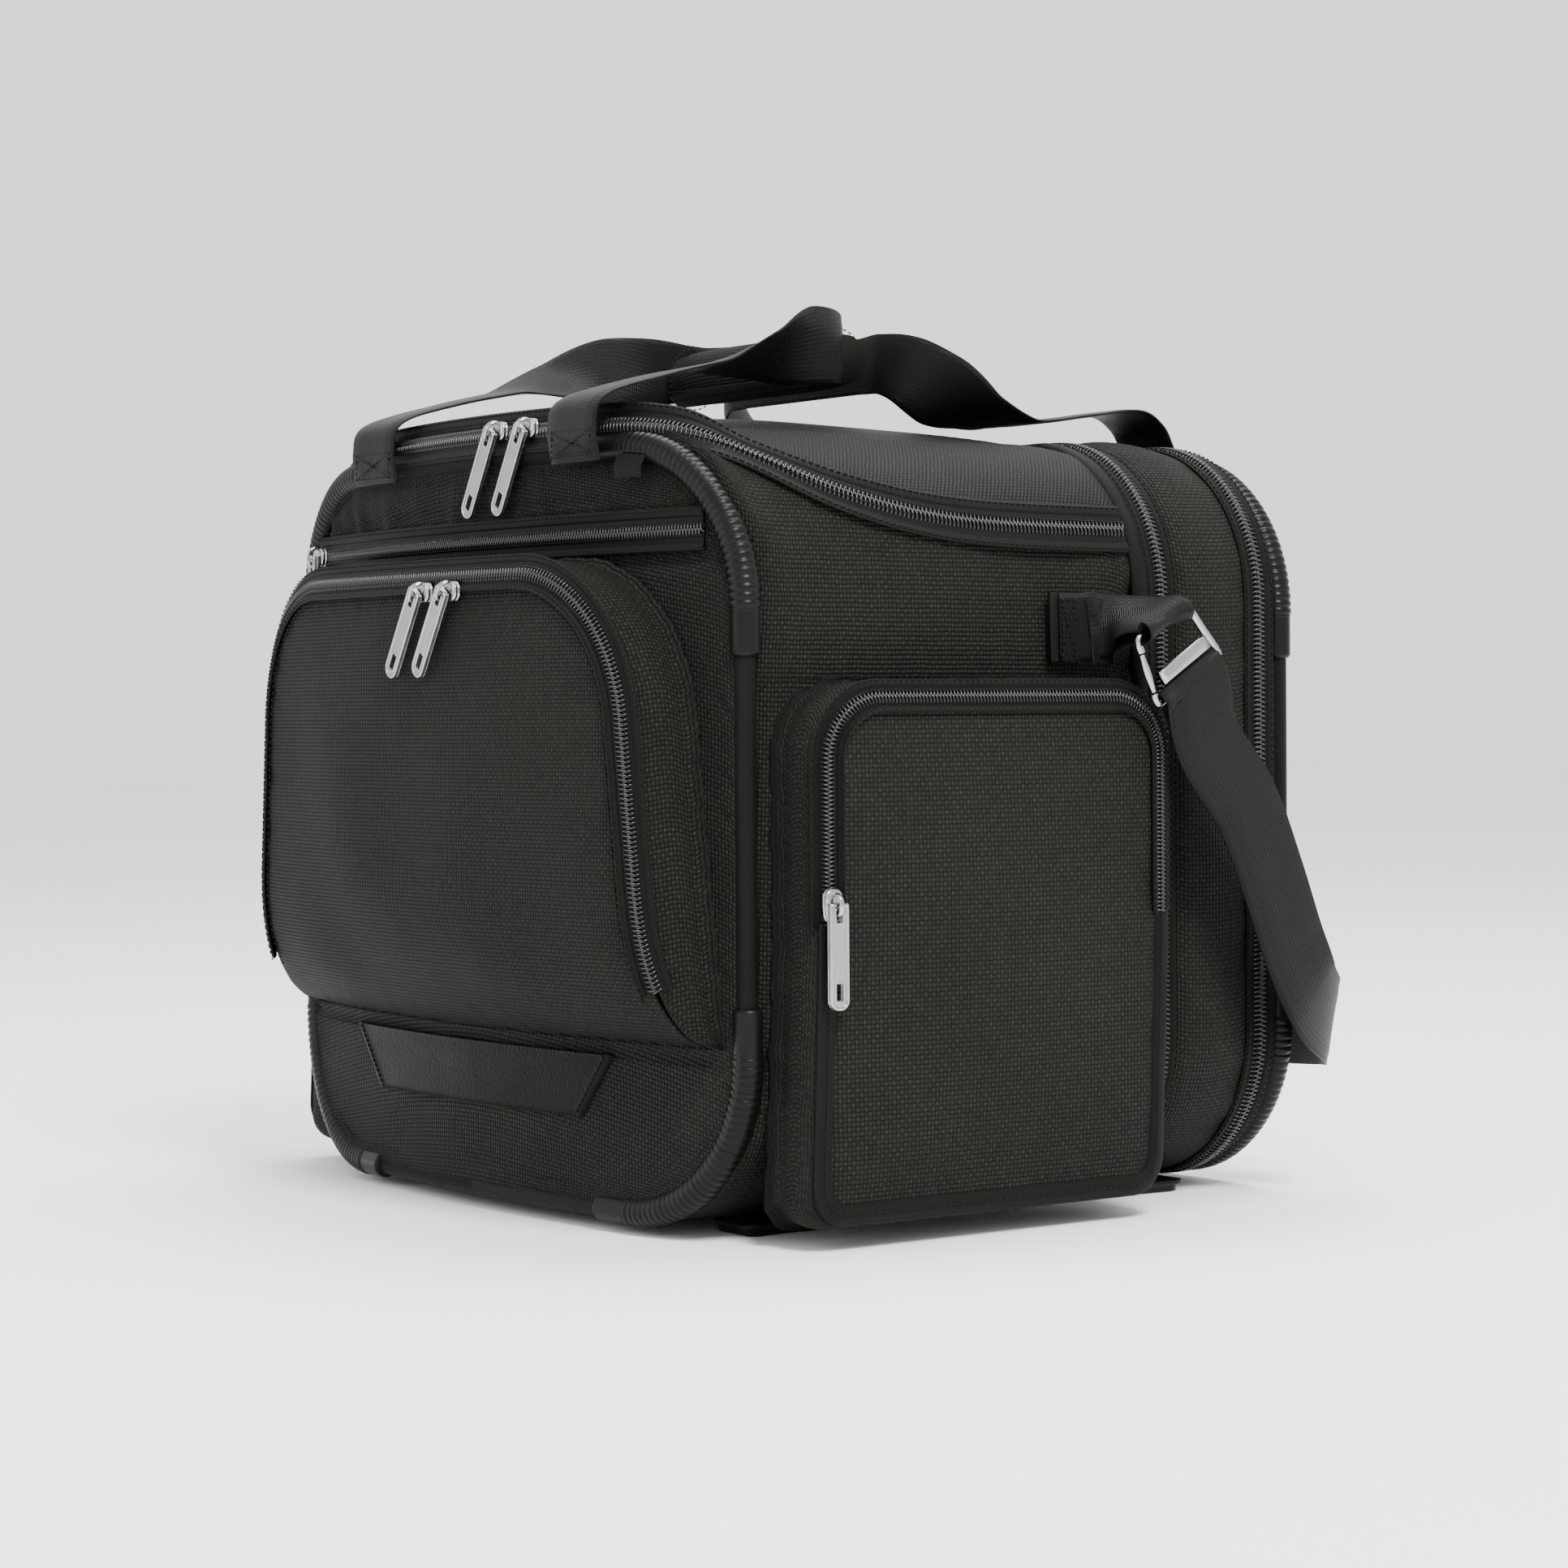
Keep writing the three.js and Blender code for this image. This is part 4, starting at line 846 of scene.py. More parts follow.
# front of the pocket: one cloth from its bottom seam to the zip
rim = pocket_outline(7.0, 84)
bottom = np.stack([np.linspace(rim[-1, 0], rim[0, 0], 120)[1:-1], np.full(118, 84.0)], 1)
rim = resample(np.concatenate([rim, bottom]), 520, closed=True)
q, share, far = closing(rim, (0, 176.0), 46)
rows = on_front(q, 34.0 + 1.7 * (1 - np.exp(-far / 7)) + 3.4 * (1 - share ** 2))
d_rim = (1 - share) * 150
fold_depth = wobble(rows, 1.3, 85, 33) * np.clip(d_rim / 40, 0, 1)
fold_depth += pucker(d_rim, np.arange(520)[None] * 2.1, 0.45, 34, reach=12, pitch=26) \
    * np.clip(d_rim / 6, 0, 1)
rows = front_push(rows, fold_depth)
face = thicken(crowned("pocket_face", rows, NYLON_FINE, (0, 2), flip=True), 2.2, LINING)
sew_q = pocket_outline(14.2, 104)
sew = stitches("pocket_sew", on_front(sew_q, 35.9), front_normal(sew_q[:, 0]))
face = join("pocket_face", face, sew, inner)
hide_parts("front_pocket_flap")
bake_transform(face)
place(gusset, "body", "front_pocket_base", slot="ballistic_nylon")


# ---------- side pockets ----------
def side_outline(inset, low=None, count=360):
    low = 9 + inset if low is None else low
    p = rounded(14 + inset, 208 - inset, low, 236 - inset, 12, 30 - inset / 2, count)
    p[:, 0] -= 4.0 * np.clip((120 - p[:, 1]) / 100, 0, 1)      # the bucket leans forward
    return p


def open_run(q, keep):
    """The kept part of a closed outline, in order from one end to the other."""
    q = q[keep]
    gap = np.linalg.norm(np.roll(q, -1, 0) - q, axis=1)
    return np.roll(q, -int(np.argmax(gap)) - 1, 0)


def on_side(q, x, side):
    return np.stack([x * side + 0 * q[..., 0], q[..., 0], q[..., 1]], -1)


profile = [(-2.2, 187.6), (0.2, 188.6), (1.2, 192), (0.4, 198), (0.2, 205), (0.9, 210),
           (2.2, 213.5), (4.2, 214.6), (6.0, 214.3)]
for side, hand in ((1, "right"), (-1, "left")):
    flip = side < 0
    out = np.array((float(side), 0, 0))
    rows = np.array([on_side(side_outline(inset), x, side) for inset, x in smooth_path(profile, 24)])
    y, z = rows[..., 1], rows[..., 2]
    rows = gather(rows, np.stack([0 * y, (y - 111) / 97, (z - 120) / 114], -1), 1.5, 2.2, 0.7,
                  41 + side, 7, 17)
    rows[..., 2] = np.maximum(rows[..., 2], 6.6)
    wall = surface(f"side_gusset_{hand}", rows, NYLON, 2.0, closed_u=True, flip=flip)
    # zip round the flap, up the front, over and down the rear; binding edges the bucket below it
    ring = side_outline(6.6, count=400)
    path = on_side(open_run(ring, ring[:, 1] > 134), 215.0, side)
    outer, inner = edge_zip(f"side_zip_{hand}", path, out, (0, 111, 150), (0.92, 0.38),
                            (5.6, 5.0), 1.8)
    edge = on_side(open_run(ring, ring[:, 1] < 137), 215.0, side)
    bind = sweep(f"side_edge_{hand}", edge, out, round_section(5.0, 1.2, 12), BINDING)
    sew = stitches(f"side_edge_sew_{hand}", edge + out * 1.4, out)
    # pocket front, one cloth: bucket below the flap's hinge and the flap above it
    q, share, far = closing(side_outline(8.6, low=15.4, count=420), (110, 120.0), 40)
    x = 215.0 + 1.6 * (1 - np.exp(-far / 5)) + 4.4 * (1 - share ** 2.2)
    x -= 1.2 * np.clip((40 - q[..., 1]) / 26, 0, 1)
    rows = on_side(q, x, side)
    d_rim = (1 - share) * 105
    push = wobble(rows, 0.7, 90, 43 + side) * np.clip(d_rim / 30, 0, 1)
    push += pucker(d_rim, np.arange(420)[None] * 1.7, 0.4, 45 + side, reach=10, pitch=21) \
        * np.clip(d_rim / 5, 0, 1)
    rows[..., 0] += side * push
    front = thicken(crowned(f"side_front_{hand}", rows, NYLON, (1, 2), flip), 2, LINING)
    front = join(f"side_front_{hand}", front, inner)
    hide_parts(f"side_flap_{hand}")
    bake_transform(front)
    # seam where the pocket's top gusset meets the body
    top_line = np.array([(side * 188.9, y, 238.5) for y in np.linspace(6, 206, 60)])
    top_sew = stitches(f"side_top_sew_{hand}", top_line, out)
    place(join(f"side_pocket_edge_{hand}", outer, bind, sew, top_sew), "body", slot="zip_coil")
    place(wall, "body", f"side_pocket_{hand}", slot="ballistic_nylon")


# ---------- rear section ----------
def puffed(name, stations, mat, seed, fold=0.8, count=26):
    """A ring of cloth round the rear section through stations (depth, growth)."""
    rows = np.array([upright(rounded(-188 - grow, 188 + grow, 6 - min(grow, 0), 343 + grow,
                                     70 + grow, 70 + grow, 640), y)
                     for y, grow in smooth_path(stations, count)])
    x, z = rows[..., 0], rows[..., 2]
    k = np.arange(count)
    share = np.clip((z - 14) / 20, 0, 1) * np.clip(np.minimum(k, k[::-1]) / 5, 0, 1)[:, None]
    rows = gather(rows, np.stack([x / 188, 0 * x, (z - 175) / 170], -1), 1.6, 1.9, fold, seed, 9, 19,
                  share)
    return surface(name, rows, mat, 2.4, closed_u=True, flip=True)


gusset_a = puffed("rear_edge_fold", [(209.4, 0), (210.5, 2.6), (214, 3.6), (217.5, 2.6),
                                     (219.4, 1.2), (222, 1.0)], BINDING, 51, 0.3, 12)
gusset_b = puffed("rear_gusset_cloth", [(229.5, 1.0), (232, 1.3), (235, 3.0), (240, 4.6), (252, 5.2),
                                        (264, 4.2), (272, 2.6), (277, 1.2), (281, 1.0)], NYLON, 52, 1.1)
place(join("rear_gusset_skin", gusset_a, gusset_b), "body", "rear_gusset", slot="ballistic_nylon")


def rear_zip(y, names, bodies, nodes):
    q = rounded(-189.5, 189.5, 6.2, 344.5, 71, 71, spacing=2.4)
    path = upright(q, float(y))
    x, z = q.T
    n = np.stack([x - np.clip(x, -118, 118), 0 * x, z - np.clip(z, 77, 273)], 1)
    n = soften(unit(n), 5, closed=True)
    _, across, _ = frames(path, n, True)
    front_side = 1 if across[50][1] < 0 else -1
    for name, s, body_name, node in zip(names, (front_side, -front_side), bodies, nodes):
        part = zip_half(name, path, n, s, 5.6, 2.15, closed=True, welt=2.2)
        place(part, body_name, *node, slot="zip_coil")


rear_zip(225.5, ("expander_zip_front", "expander_zip_rear"), ("body", "body"), ((), ()))
rear_zip(284.5, ("rear_zip_front", "rear_zip_rear"), ("body", "rear_cover"), (("rear_zip",), ()))

rim = puffed("cover_rim", [(289.3, 0.6), (291, 2.2), (294, 1.6), (296.5, -2), (299.5, -5)], NYLON,
             53, 0.3, 14)
z = np.linspace(14, 333, 120)
w = half_width_at(z, 181, 13, 334, 67, 67)
s = np.linspace(-1, 1, 160)
x = w[:, None] * s[None]
edge = np.minimum(w[:, None] - np.abs(x), np.minimum(z - 13, 334 - z)[:, None])
p = np.stack([x, 300.2 + 4.4 * (1 - np.exp(-edge / 14)), np.repeat(z[:, None], 160, 1)], 2)
p[..., 1] += wobble(p, 0.9, 110, 54) * np.clip(edge / 25, 0, 1) + pucker(
    edge, p[..., 0] + p[..., 2], 0.5, 55, reach=8)
for z_seam in (96.0, 262.0):
    p[..., 1] -= 1.3 * np.exp(-((p[..., 2] - z_seam) / 2.2) ** 2)
plate = surface("cover_plate", p, NYLON, 2.4, ref_u=80, flip=True)
sews = [rim, plate]
for z_seam in (93.0, 99.0, 259.0, 265.0):
    x = np.linspace(-176, 176, 90)
    sews.append(stitches(f"cover_sew_{z_seam:.0f}", np.stack([x, x * 0 + 304.6, x * 0 + z_seam], 1),
                         (0, 1, 0)))
q = rounded(-174, 174, 21, 326, 60, 60, spacing=3)
sews.append(stitches("cover_sew_edge", upright(q, 303.6), (0, 1, 0), closed=True))
place(join("rear_cover_cloth", *sews), "rear_cover", "rear_cover", slot="ballistic_nylon")


# ---------- webbing: handles and shoulder strap ----------
def ribbon(name, stations, width, thick, count, mat=WEBBING):
    """Webbing through stations (x, y, z, wx, wy, wz[, width]) with woven, rounded edges."""
    st = np.array([list(s) + [width] * (7 - len(s)) for s in stations], float)
    path = smooth_path(st[:, :3], count)
    s = np.concatenate([[0], np.cumsum(np.linalg.norm(np.diff(st[:, :3], axis=0), axis=1))])
    at = np.linspace(0, s[-1], count)
    w = unit(soften(np.stack([np.interp(at, s, unit(st[:, 3:6])[:, k]) for k in range(3)], 1), 6))
    wide = soften(np.interp(at, s, st[:, 6])[:, None], 4)[:, 0]
    t = unit(np.gradient(path, axis=0))
    w = unit(w - t * np.sum(w * t, 1, keepdims=True))
    n = np.cross(t, w)
    u = np.linspace(-0.5, 0.5, 13)
    h = np.where(np.abs(u) > 0.44, 0.92, 0.5 + 0.42 * (np.abs(u) < 0.40)) * thick / 2
    h[[0, -1]] = thick * 0.2
    section_u = np.concatenate([u, u[::-1]])
    section_h = np.concatenate([h, -h[::-1]])
    p = (path[:, None] + w[:, None] * (section_u[None, :, None] * wide[:, None, None])
         + n[:, None] * section_h[None, :, None])
    faces, uv = capped(p, flip=True)
    return make(name, p.reshape(-1, 3), faces, mat, uv)


def box_stitch(name, centre, along, across, normal, long, wide):
    """The sewn box with a cross that holds webbing down."""
    c, a, b, n = (np.array(k, float) for k in (centre, along, across, normal))
    a, b, n = unit(a), unit(b), unit(n)
    k = [c + a * i * long / 2 + b * j * wide / 2 for i, j in ((-1, -1), (1, -1), (1, 1), (-1, 1))]
    lines = [(k[i], k[j]) for i, j in ((0, 1), (1, 2), (2, 3), (3, 0), (0, 2), (1, 3))]
    return [stitches(f"{name}_{m}", resample(line, 30), n, pitch=2.8, size=2.1)
            for m, line in enumerate(lines)]


def handle_line(leg, grip):
    """Stations of a handle: up the right leg, along the grip and down the left leg.

    A leg's stations are (place inwards, y, z, wx, wz[, width])."""
    right, left = ([(x - inner * k, y, z, wx, 0, wz * inner, *wide) for k, y, z, wx, wz, *wide in leg]
                   for x, inner in ((96, 1), (-76, -1)))
    return right + grip + [(*s[:3], -s[3], s[4], -s[5], *s[6:]) for s in left][::-1]


root_y = float(front_y(96, 1.8)) - 9
FRONT_LEG = [(0, root_y + 1.2, 331, 1, 0), (0, root_y - 1.0, 346, 1, 0), (0, root_y + 5, 359, 1, 0),
             (0.5, 12, 369, 1, 0), (1.5, 46, 376.5, 1, 0.04), (3, 76, 383, 0.85, 0.5),
             (6, 102, 388, 0.35, 0.95, 37), (12, 123, 389, 0.05, 1, 33), (23, 134, 388, 0, 1, 28)]
FRONT_GRIP = [(58, 136.2, 387, 0, 0, 1, 25), (30, 136.2, 386, 0, 0, 1, 24),
              (-10, 136.2, 386, 0, 0, 1, 24), (-38, 136.2, 387, 0, 0, 1, 25)]
handle = ribbon("front_webbing", handle_line(FRONT_LEG, FRONT_GRIP), 38, 2.0, 420)
extra = []
for x in (96, -76):
    extra += box_stitch(f"front_box_{x}", (x, root_y - 1.5, 339), (0, 0, 1), (1, 0, 0), (0, -1, 0), 11, 30)
handle = join("front_webbing", handle, *extra)
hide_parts("front_handle")
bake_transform(handle)

# the padded wrap: a soft sleeve round both ends of the webbing, blown up like foam
tube_t = np.linspace(0, 1, 40)
tube_x = 10 + 66 * (2 * tube_t - 1)
tube_r = 13.2 * (1 - 0.16 * np.abs(2 * tube_t - 1) ** 6)
ang = np.arange(48) * 2 * math.pi / 48
wrap_p = np.stack([np.repeat(tube_x[:, None], 48, 1),
                   136 + tube_r[:, None] * 0.92 * np.cos(ang)[None],
                   385 + tube_r[:, None] * np.sin(ang)[None]], 2)
faces, uv = capped(wrap_p)
wrap = make("grip_wrap", wrap_p.reshape(-1, 3), faces, NYLON_FINE, uv)


def inflate(obj, pressure, cap, frames=16):
    """Blow a closed mesh up with the cloth solver; no point moves further than cap metres."""
    bpy.context.view_layer.update()
    start = np.array([v.co for v in obj.data.vertices])
    mod = obj.modifiers.new("cloth", "CLOTH")
    s = mod.settings
    s.quality, s.mass = 6, 0.2
    s.tension_stiffness = s.compression_stiffness = 18
    s.shear_stiffness, s.bending_stiffness = 10, 0.6
    s.use_pressure, s.uniform_pressure_force = True, pressure
    s.effector_weights.gravity = 0
    mod.point_cache.frame_start, mod.point_cache.frame_end = 1, frames
    for f in range(1, frames + 1):
        bpy.context.scene.frame_set(f)
    done = obj.evaluated_get(bpy.context.evaluated_depsgraph_get())
    end = np.array([v.co for v in done.data.vertices])
    obj.modifiers.remove(mod)
    move = end - start
    size = np.linalg.norm(move, axis=1, keepdims=True)
    move *= np.minimum(1, cap / np.maximum(size, 1e-9))
    obj.data.vertices.foreach_set("co", (start + move).astype(np.float32).ravel())
    obj.data.update()
    bpy.context.scene.frame_set(1)


inflate(wrap, 4, 0.0016)
co = np.array([v.co for v in wrap.data.vertices])
groove = np.exp(-((np.abs(co[:, 0] - 0.010) - 0.059) / 0.0014) ** 2)
radial = unit(co * (0, 1, 1) - metres((0, 136, 385)) * (0, 1, 1))
co -= radial * (groove * 0.0009)[:, None]
wrap.data.vertices.foreach_set("co", co.astype(np.float32).ravel())
ends = []
for x in (-49, 69):
    circle = np.stack([np.full(60, float(x)), 136 + 13.4 * np.cos(np.linspace(0, 2 * math.pi, 61)[:-1]),
                       385 + 14.2 * np.sin(np.linspace(0, 2 * math.pi, 61)[:-1])], 1)
    ends.append(stitches(f"wrap_sew_{x}", circle, unit(circle - (x, 136, 385)), closed=True,
                         pitch=3.0, size=2.2))
flap_line = np.stack([np.linspace(-52, 72, 60), np.full(60, 136.0 - 9.5), np.full(60, 385 - 10.2)], 1)
lip = sweep("wrap_lip", flap_line, (0, -0.66, -0.75), round_section(5.5, 0.9, 12), BINDING)
lip_sew = stitches("wrap_lip_sew", flap_line + (0, -0.55, -0.8), (0, -0.66, -0.75), pitch=3.0)
wrap = join("grip_wrap", wrap, *ends, lip, lip_sew)
place(wrap, "front_handle", "handle_wrap", slot="ballistic_nylon")

REAR_LEG = [(0, 301, 347, 1, 0), (0, 294, 358, 1, 0), (0, 280, 364.5, 1, 0), (1, 253, 361.5, 1, 0),
            (2, 220, 357.5, 1, 0), (3.5, 198, 362, 0.9, 0.3), (6, 180, 371, 0.5, 0.85, 37),
            (12, 166, 380, 0.08, 1, 33), (24, 159, 384, 0, 1, 28)]
REAR_GRIP = [(56, 158, 384, 0, 0, 1, 26), (10, 158, 384, 0, 0, 1, 26), (-36, 158, 384, 0, 0, 1, 26)]
rear_web = ribbon("rear_webbing", handle_line(REAR_LEG, REAR_GRIP), 38, 2.0, 420)
place(rear_web, "rear_handle", "rear_handle", slot="webbing")

clip_c = np.array((195.0, 262.0))
lean = math.radians(32)


def hang(y, z):
    dy, dz = y - clip_c[0], z - clip_c[1]
    return (clip_c[0] + dy * math.cos(lean) - dz * math.sin(lean),
            clip_c[1] + dy * math.sin(lean) + dz * math.cos(lean))


top_z, foot_z = 262.0, 232.0
for side, hand in ((1, "right"), (-1, "left")):
    by, bz = math.cos(lean), math.sin(lean)
    loop_st = [(193.5, 163, 259.5, 0, 0, 1), (194.2, 174, 259.8, 0, 0.05, 1),
               (197, 183, 261, 0, 0.3, 1), (204, 188.6, 263.4, 0, by, 0.8),
               (214, 192.0, 264.6, 0, by, bz), (222.5, 194.3, 264.9, 0, by, bz),
               (226.6, 195.2, 263.6, 0, by, bz), (227.3, 195.5, 261.6, 0, by, bz),
               (225.6, 195.2, 259.4, 0, by, bz), (219, 193.6, 259.4, 0, by, bz),
               (208, 190.6, 259.4, 0, by, 0.75), (199, 186.4, 258, 0, 0.4, 1),
               (196.0, 178, 257, 0, 0.1, 1)]
    loop = ribbon(f"loop_{hand}", [(side * s[0], *s[1:3], side * s[3], *s[4:]) for s in loop_st],
                      30, 1.5, 110)
    tab = sweep(f"loop_tab_{hand}", np.array([(side * 190.2, y, 259.5) for y in np.linspace(159, 176, 10)]),
                (side, 0, 0), slab_section(-15.5, 15.5, 0, 2.5, 0.7), WEBBING)
    parts = box_stitch(f"loop_box_{hand}", (side * 194.4, 167.5, 259.5), (0, 1, 0), (0, 0, 1),
                       (side, 0, 0), 7, 24)
    place(join(f"loop_tab_{hand}", tab, *parts), "body", slot="webbing")
    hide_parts(f"strap_loop_{hand}")
    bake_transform(loop)

    # clip: rounded bar bent to a trapezoid, with a flat lower bar and a sprung gate
    def clip_point(y, z, x=224.0):
        yy, zz = hang(y, z)
        return (side * x, yy, zz)

    frame_pts = [(195 - 20.4, foot_z + 5), (195 - 20.8, foot_z + 1.6), (195 - 18.4, foot_z),
                 (195, foot_z), (195 + 18.4, foot_z), (195 + 20.8, foot_z + 1.6),
                 (195 + 18.6, foot_z + 15), (195 + 16.4, top_z - 2.4), (195 + 13.6, top_z),
                 (195, top_z), (195 - 13.6, top_z), (195 - 16.4, top_z - 2.4), (195 - 17.0, top_z - 6)]
    path = smooth_path(np.array([clip_point(*q) for q in frame_pts]), 160)
    body_ring = sweep(f"clip_{hand}", path, (side, 0, 0),
                      round_section(1.9, 1.55, 14), NICKEL)
    plate = np.array([clip_point(y, foot_z + 8.6) for y in np.linspace(195 - 13.6, 195 + 17.6, 12)])
    flat = sweep(f"clip_plate_{hand}", plate, (side, 0, 0),
                 slab_section(-3.4, 3.4, -1.1, 1.5, 0.8), NICKEL)
    place(join(f"clip_{hand}", body_ring, flat), "strap", f"strap_clip_{hand}", slot="nickel")
    gate_pts = [(195 - 20.0, foot_z + 5.8), (195 - 19.0, foot_z + 14), (195 - 17.4, top_z - 6.8)]
    path = smooth_path(np.array([clip_point(*q) for q in gate_pts]), 40)
    wide = 1 + 0.18 * np.cos(np.linspace(-math.pi, math.pi, 40))
    gate = sweep(f"gate_{hand}", path, (side, 0, 0),
                 round_section(1.65, 1.4, 12), NICKEL, scale=wide)
    place(gate, f"clip_gate_{hand}", f"clip_gate_{hand}", slot="nickel")

def on_clip(x, local_z, wide=38):
    y, z = hang(195, local_z)
    return (x, y, z, 0, by, bz, wide)


turn = [on_clip(220.6, 219), on_clip(220.8, 226), on_clip(221.8, 232.5), on_clip(223.6, 235.6),
        on_clip(226.0, 235.2), on_clip(227.4, 232), on_clip(227.6, 226.5)]
run = [(227.4, 219.5, 209, 0, 0.92, 0.38), (225.6, 244, 180, 0, 0.95, 0.30),
       (223.6, 262, 146, 0, 0.93, 0.36),
       (222, 276, 116, 0, 0.84, 0.52), (218.5, 292, 92, 0, 0.6, 0.8),
       (204, 316, 79, 0, 0.25, 1), (176, 335, 75, 0, 0, 1), (130, 346, 72, 0, 0, 1),
       (70, 351, 70, 0, 0, 1), (0, 352, 69, 0, 0, 1)]
one = turn + run
other = [(-x, *rest) for x, *rest in one[:-1]][::-1]
strap = ribbon("shoulder_strap", one + other, 38, 1.9, 640)
place(strap, "strap", "strap_webbing", slot="webbing")
a = math.radians(19)


def adjuster_point(u, v, x=-229.2):
    return (x, 250 + u * math.cos(a) - v * math.sin(a), 176 + u * math.sin(a) + v * math.cos(a))


frame_path = rounded(-24, 24, -13, 13, 4, 4, 120)
ring3 = np.array([adjuster_point(u, v) for u, v in frame_path])
buckle = sweep("strap_slider", ring3, (-1, 0, 0), round_section(2.2, 1.6, 12),
               PLASTIC, closed=True)
mid = np.array([adjuster_point(u, 0, -230.6) for u in np.linspace(-24, 24, 20)])
bar = sweep("strap_slider_bar", mid, (-1, 0, 0), round_section(3.0, 1.2, 12),
            PLASTIC)
place(join("strap_slider", buckle, bar), "strap", "strap_adjuster", slot="black_plastic")


# ---------- sliders and pulls ----------
SLIDERS = [
    ("main_right", 48, float(front_y(48, -2.1)), 349, 0, 30, True),
    ("main_left", 24, float(front_y(24, -2.1)), 349, 0, 30, True),
    ("pocket_right", 44, float(front_y(44, 36)), 277, 0, 32, True),
    ("pocket_left", 22, float(front_y(22, 36)), 277, 0, 32, True),
    ("slip", -158, float(front_y(-158, 2.1)), 300, -10, 0, True),
    ("side_right", 216, 20.5, 144, 90, 0, False), ("side_left", -216, 20.5, 144, -90, 0, False),
    ("rear", -190, 284.5, 240, -90, 0, False)]


def paint(node, look):
    """Give a modelled node that stays visible its look."""
    for slot in bpy.data.objects[node].material_slots:
        slot.material = look


def plate_layers(outline_pts, layers):
    """Closed solid from an outline (a, b) carried through (height, inset) layers."""
    d = outline_pts - outline_pts.mean(0)
    far = np.maximum(np.linalg.norm(d, axis=1, keepdims=True), 1e-6)
    rows = np.array([upright(outline_pts.mean(0) + d * (1 - inset / far), h) for h, inset in layers])
    return rows.reshape(-1, 3), capped(rows)[0]


def set_out(p, x, y, z, turn, tilt):
    """From a zip face's own frame (tilt about Y, then turn about Z) to the bag."""
    t, r = math.radians(tilt), math.radians(turn)
    q = np.array(p, float)
    q = np.stack([q[:, 0] * math.cos(t) + q[:, 2] * math.sin(t), q[:, 1],
                  -q[:, 0] * math.sin(t) + q[:, 2] * math.cos(t)], 1)
    q = np.stack([q[:, 0] * math.cos(r) - q[:, 1] * math.sin(r),
                  q[:, 0] * math.sin(r) + q[:, 1] * math.cos(r), q[:, 2]], 1)
    return q + (x, y, z)


for name, x, y, z, turn_by, tilt, along_x in SLIDERS:
    lobes = rounded(-4.4, 4.4, -7, 7, 2.6, 3.6, 60)
    lobes[:, 0] *= 1 - 0.16 * np.clip(-lobes[:, 1] / 7, 0, 1)
    if along_x:
        lobes = lobes[:, ::-1] * (1, -1)
    v, f = plate_layers(lobes, [(-0.4, 0.7), (-0.7, 0.1), (-1.5, 0), (-1.7, 0.5), (-2.3, 0.5),
                                     (-2.5, 0), (-3.3, 0.1), (-3.8, 0.9)])
    shell = make(f"slider_body_{name}", set_out(v, x, y, z, turn_by, 0), f, NICKEL)
    arch = smooth_path([(0, -3.2, 4.4), (0, -5.6, 4.5), (0, -7.9, 3.0), (0, -8.5, 0),
                        (0, -7.9, -3.0), (0, -5.6, -4.5), (0, -3.2, -4.4)], 30)
    nrm = np.stack([arch[:, 0] * 0, (arch[:, 1] + 3.4) / 4, arch[:, 2] / 4], 1)
    bridge = sweep(f"slider_bridge_{name}", set_out(arch, x, y, z, turn_by, tilt),
                   set_out(unit(nrm), 0, 0, 0, turn_by, tilt), round_section(1.25, 0.75, 10), NICKEL)
    place(join(f"slider_body_{name}", shell, bridge), f"slider_{name}", f"slider_{name}",
          slot="nickel")
    # the pull keeps its modelled plate and gets a raised, polished border on both faces
    rim = rounded(-4.1, 4.1, -42.35, 0.25, 3.6, 0.9, 150)
    hole = rounded(-2.3, 2.3, -39.6, -31.4, 0.8, 0.8, 60)
    eye = rounded(-2.0, 2.0, -7.6, -1.6, 0.5, 0.5, 50)
    rings3 = []
    for face_y, out in ((-5.9 - 0.85, -1.0), (-5.9 + 0.85, 1.0)):
        for k, (loop_q, r) in enumerate(((rim, 0.78), (hole, 0.5), (eye, 0.5))):
            p3 = set_out(upright(loop_q, face_y), x, y, z, turn_by, tilt)
            rings3.append(sweep(f"pull_rim_{name}_{k}_{out:.0f}", p3,
                                set_out([(0, out, 0)], 0, 0, 0, turn_by, tilt),
                                round_section(r, r * 0.62, 8), NICKEL, closed=True))
    place(join(f"pull_rim_{name}", *rings3), f"pull_{name}", slot="nickel")
    paint(f"pull_{name}", NICKEL_DOTS)


# ---------- feet, board, inner wall and tag ----------
for end, y in (("front", 44), ("rear", 244)):
    for x, hand in ((142, "right"), (-142, "left")):
        q = rounded(-15, 15, -24, 24, 5, 5, 80)
        v, f = plate_layers(q, [(-5.6, 0), (-4.2, 0), (-3.6, 0.4), (-3.2, 2.2), (-0.9, 2.6),
                                     (-0.3, 3.2), (0, 4.2), (0, 7.0), (-0.7, 7.4)])
        v = np.stack([v[:, 0] + x, v[:, 2] + y, -v[:, 1]], 1)
        foot = make(f"glide_{end}_{hand}", v, f, RUBBER)
        screw = rounded(-2.4, 2.4, -2.4, 2.4, 2.3, 2.3, 30)
        v, f = plate_layers(screw, [(-0.6, 0), (-1.1, 0), (-1.3, 0.4)])
        v = np.stack([v[:, 0] + x, v[:, 2] + y, -v[:, 1]], 1)
        place(join(f"glide_{end}_{hand}", foot, make("s", v, f, NICKEL)), "body",
              f"foot_{end}_{hand}", slot="black_plastic")

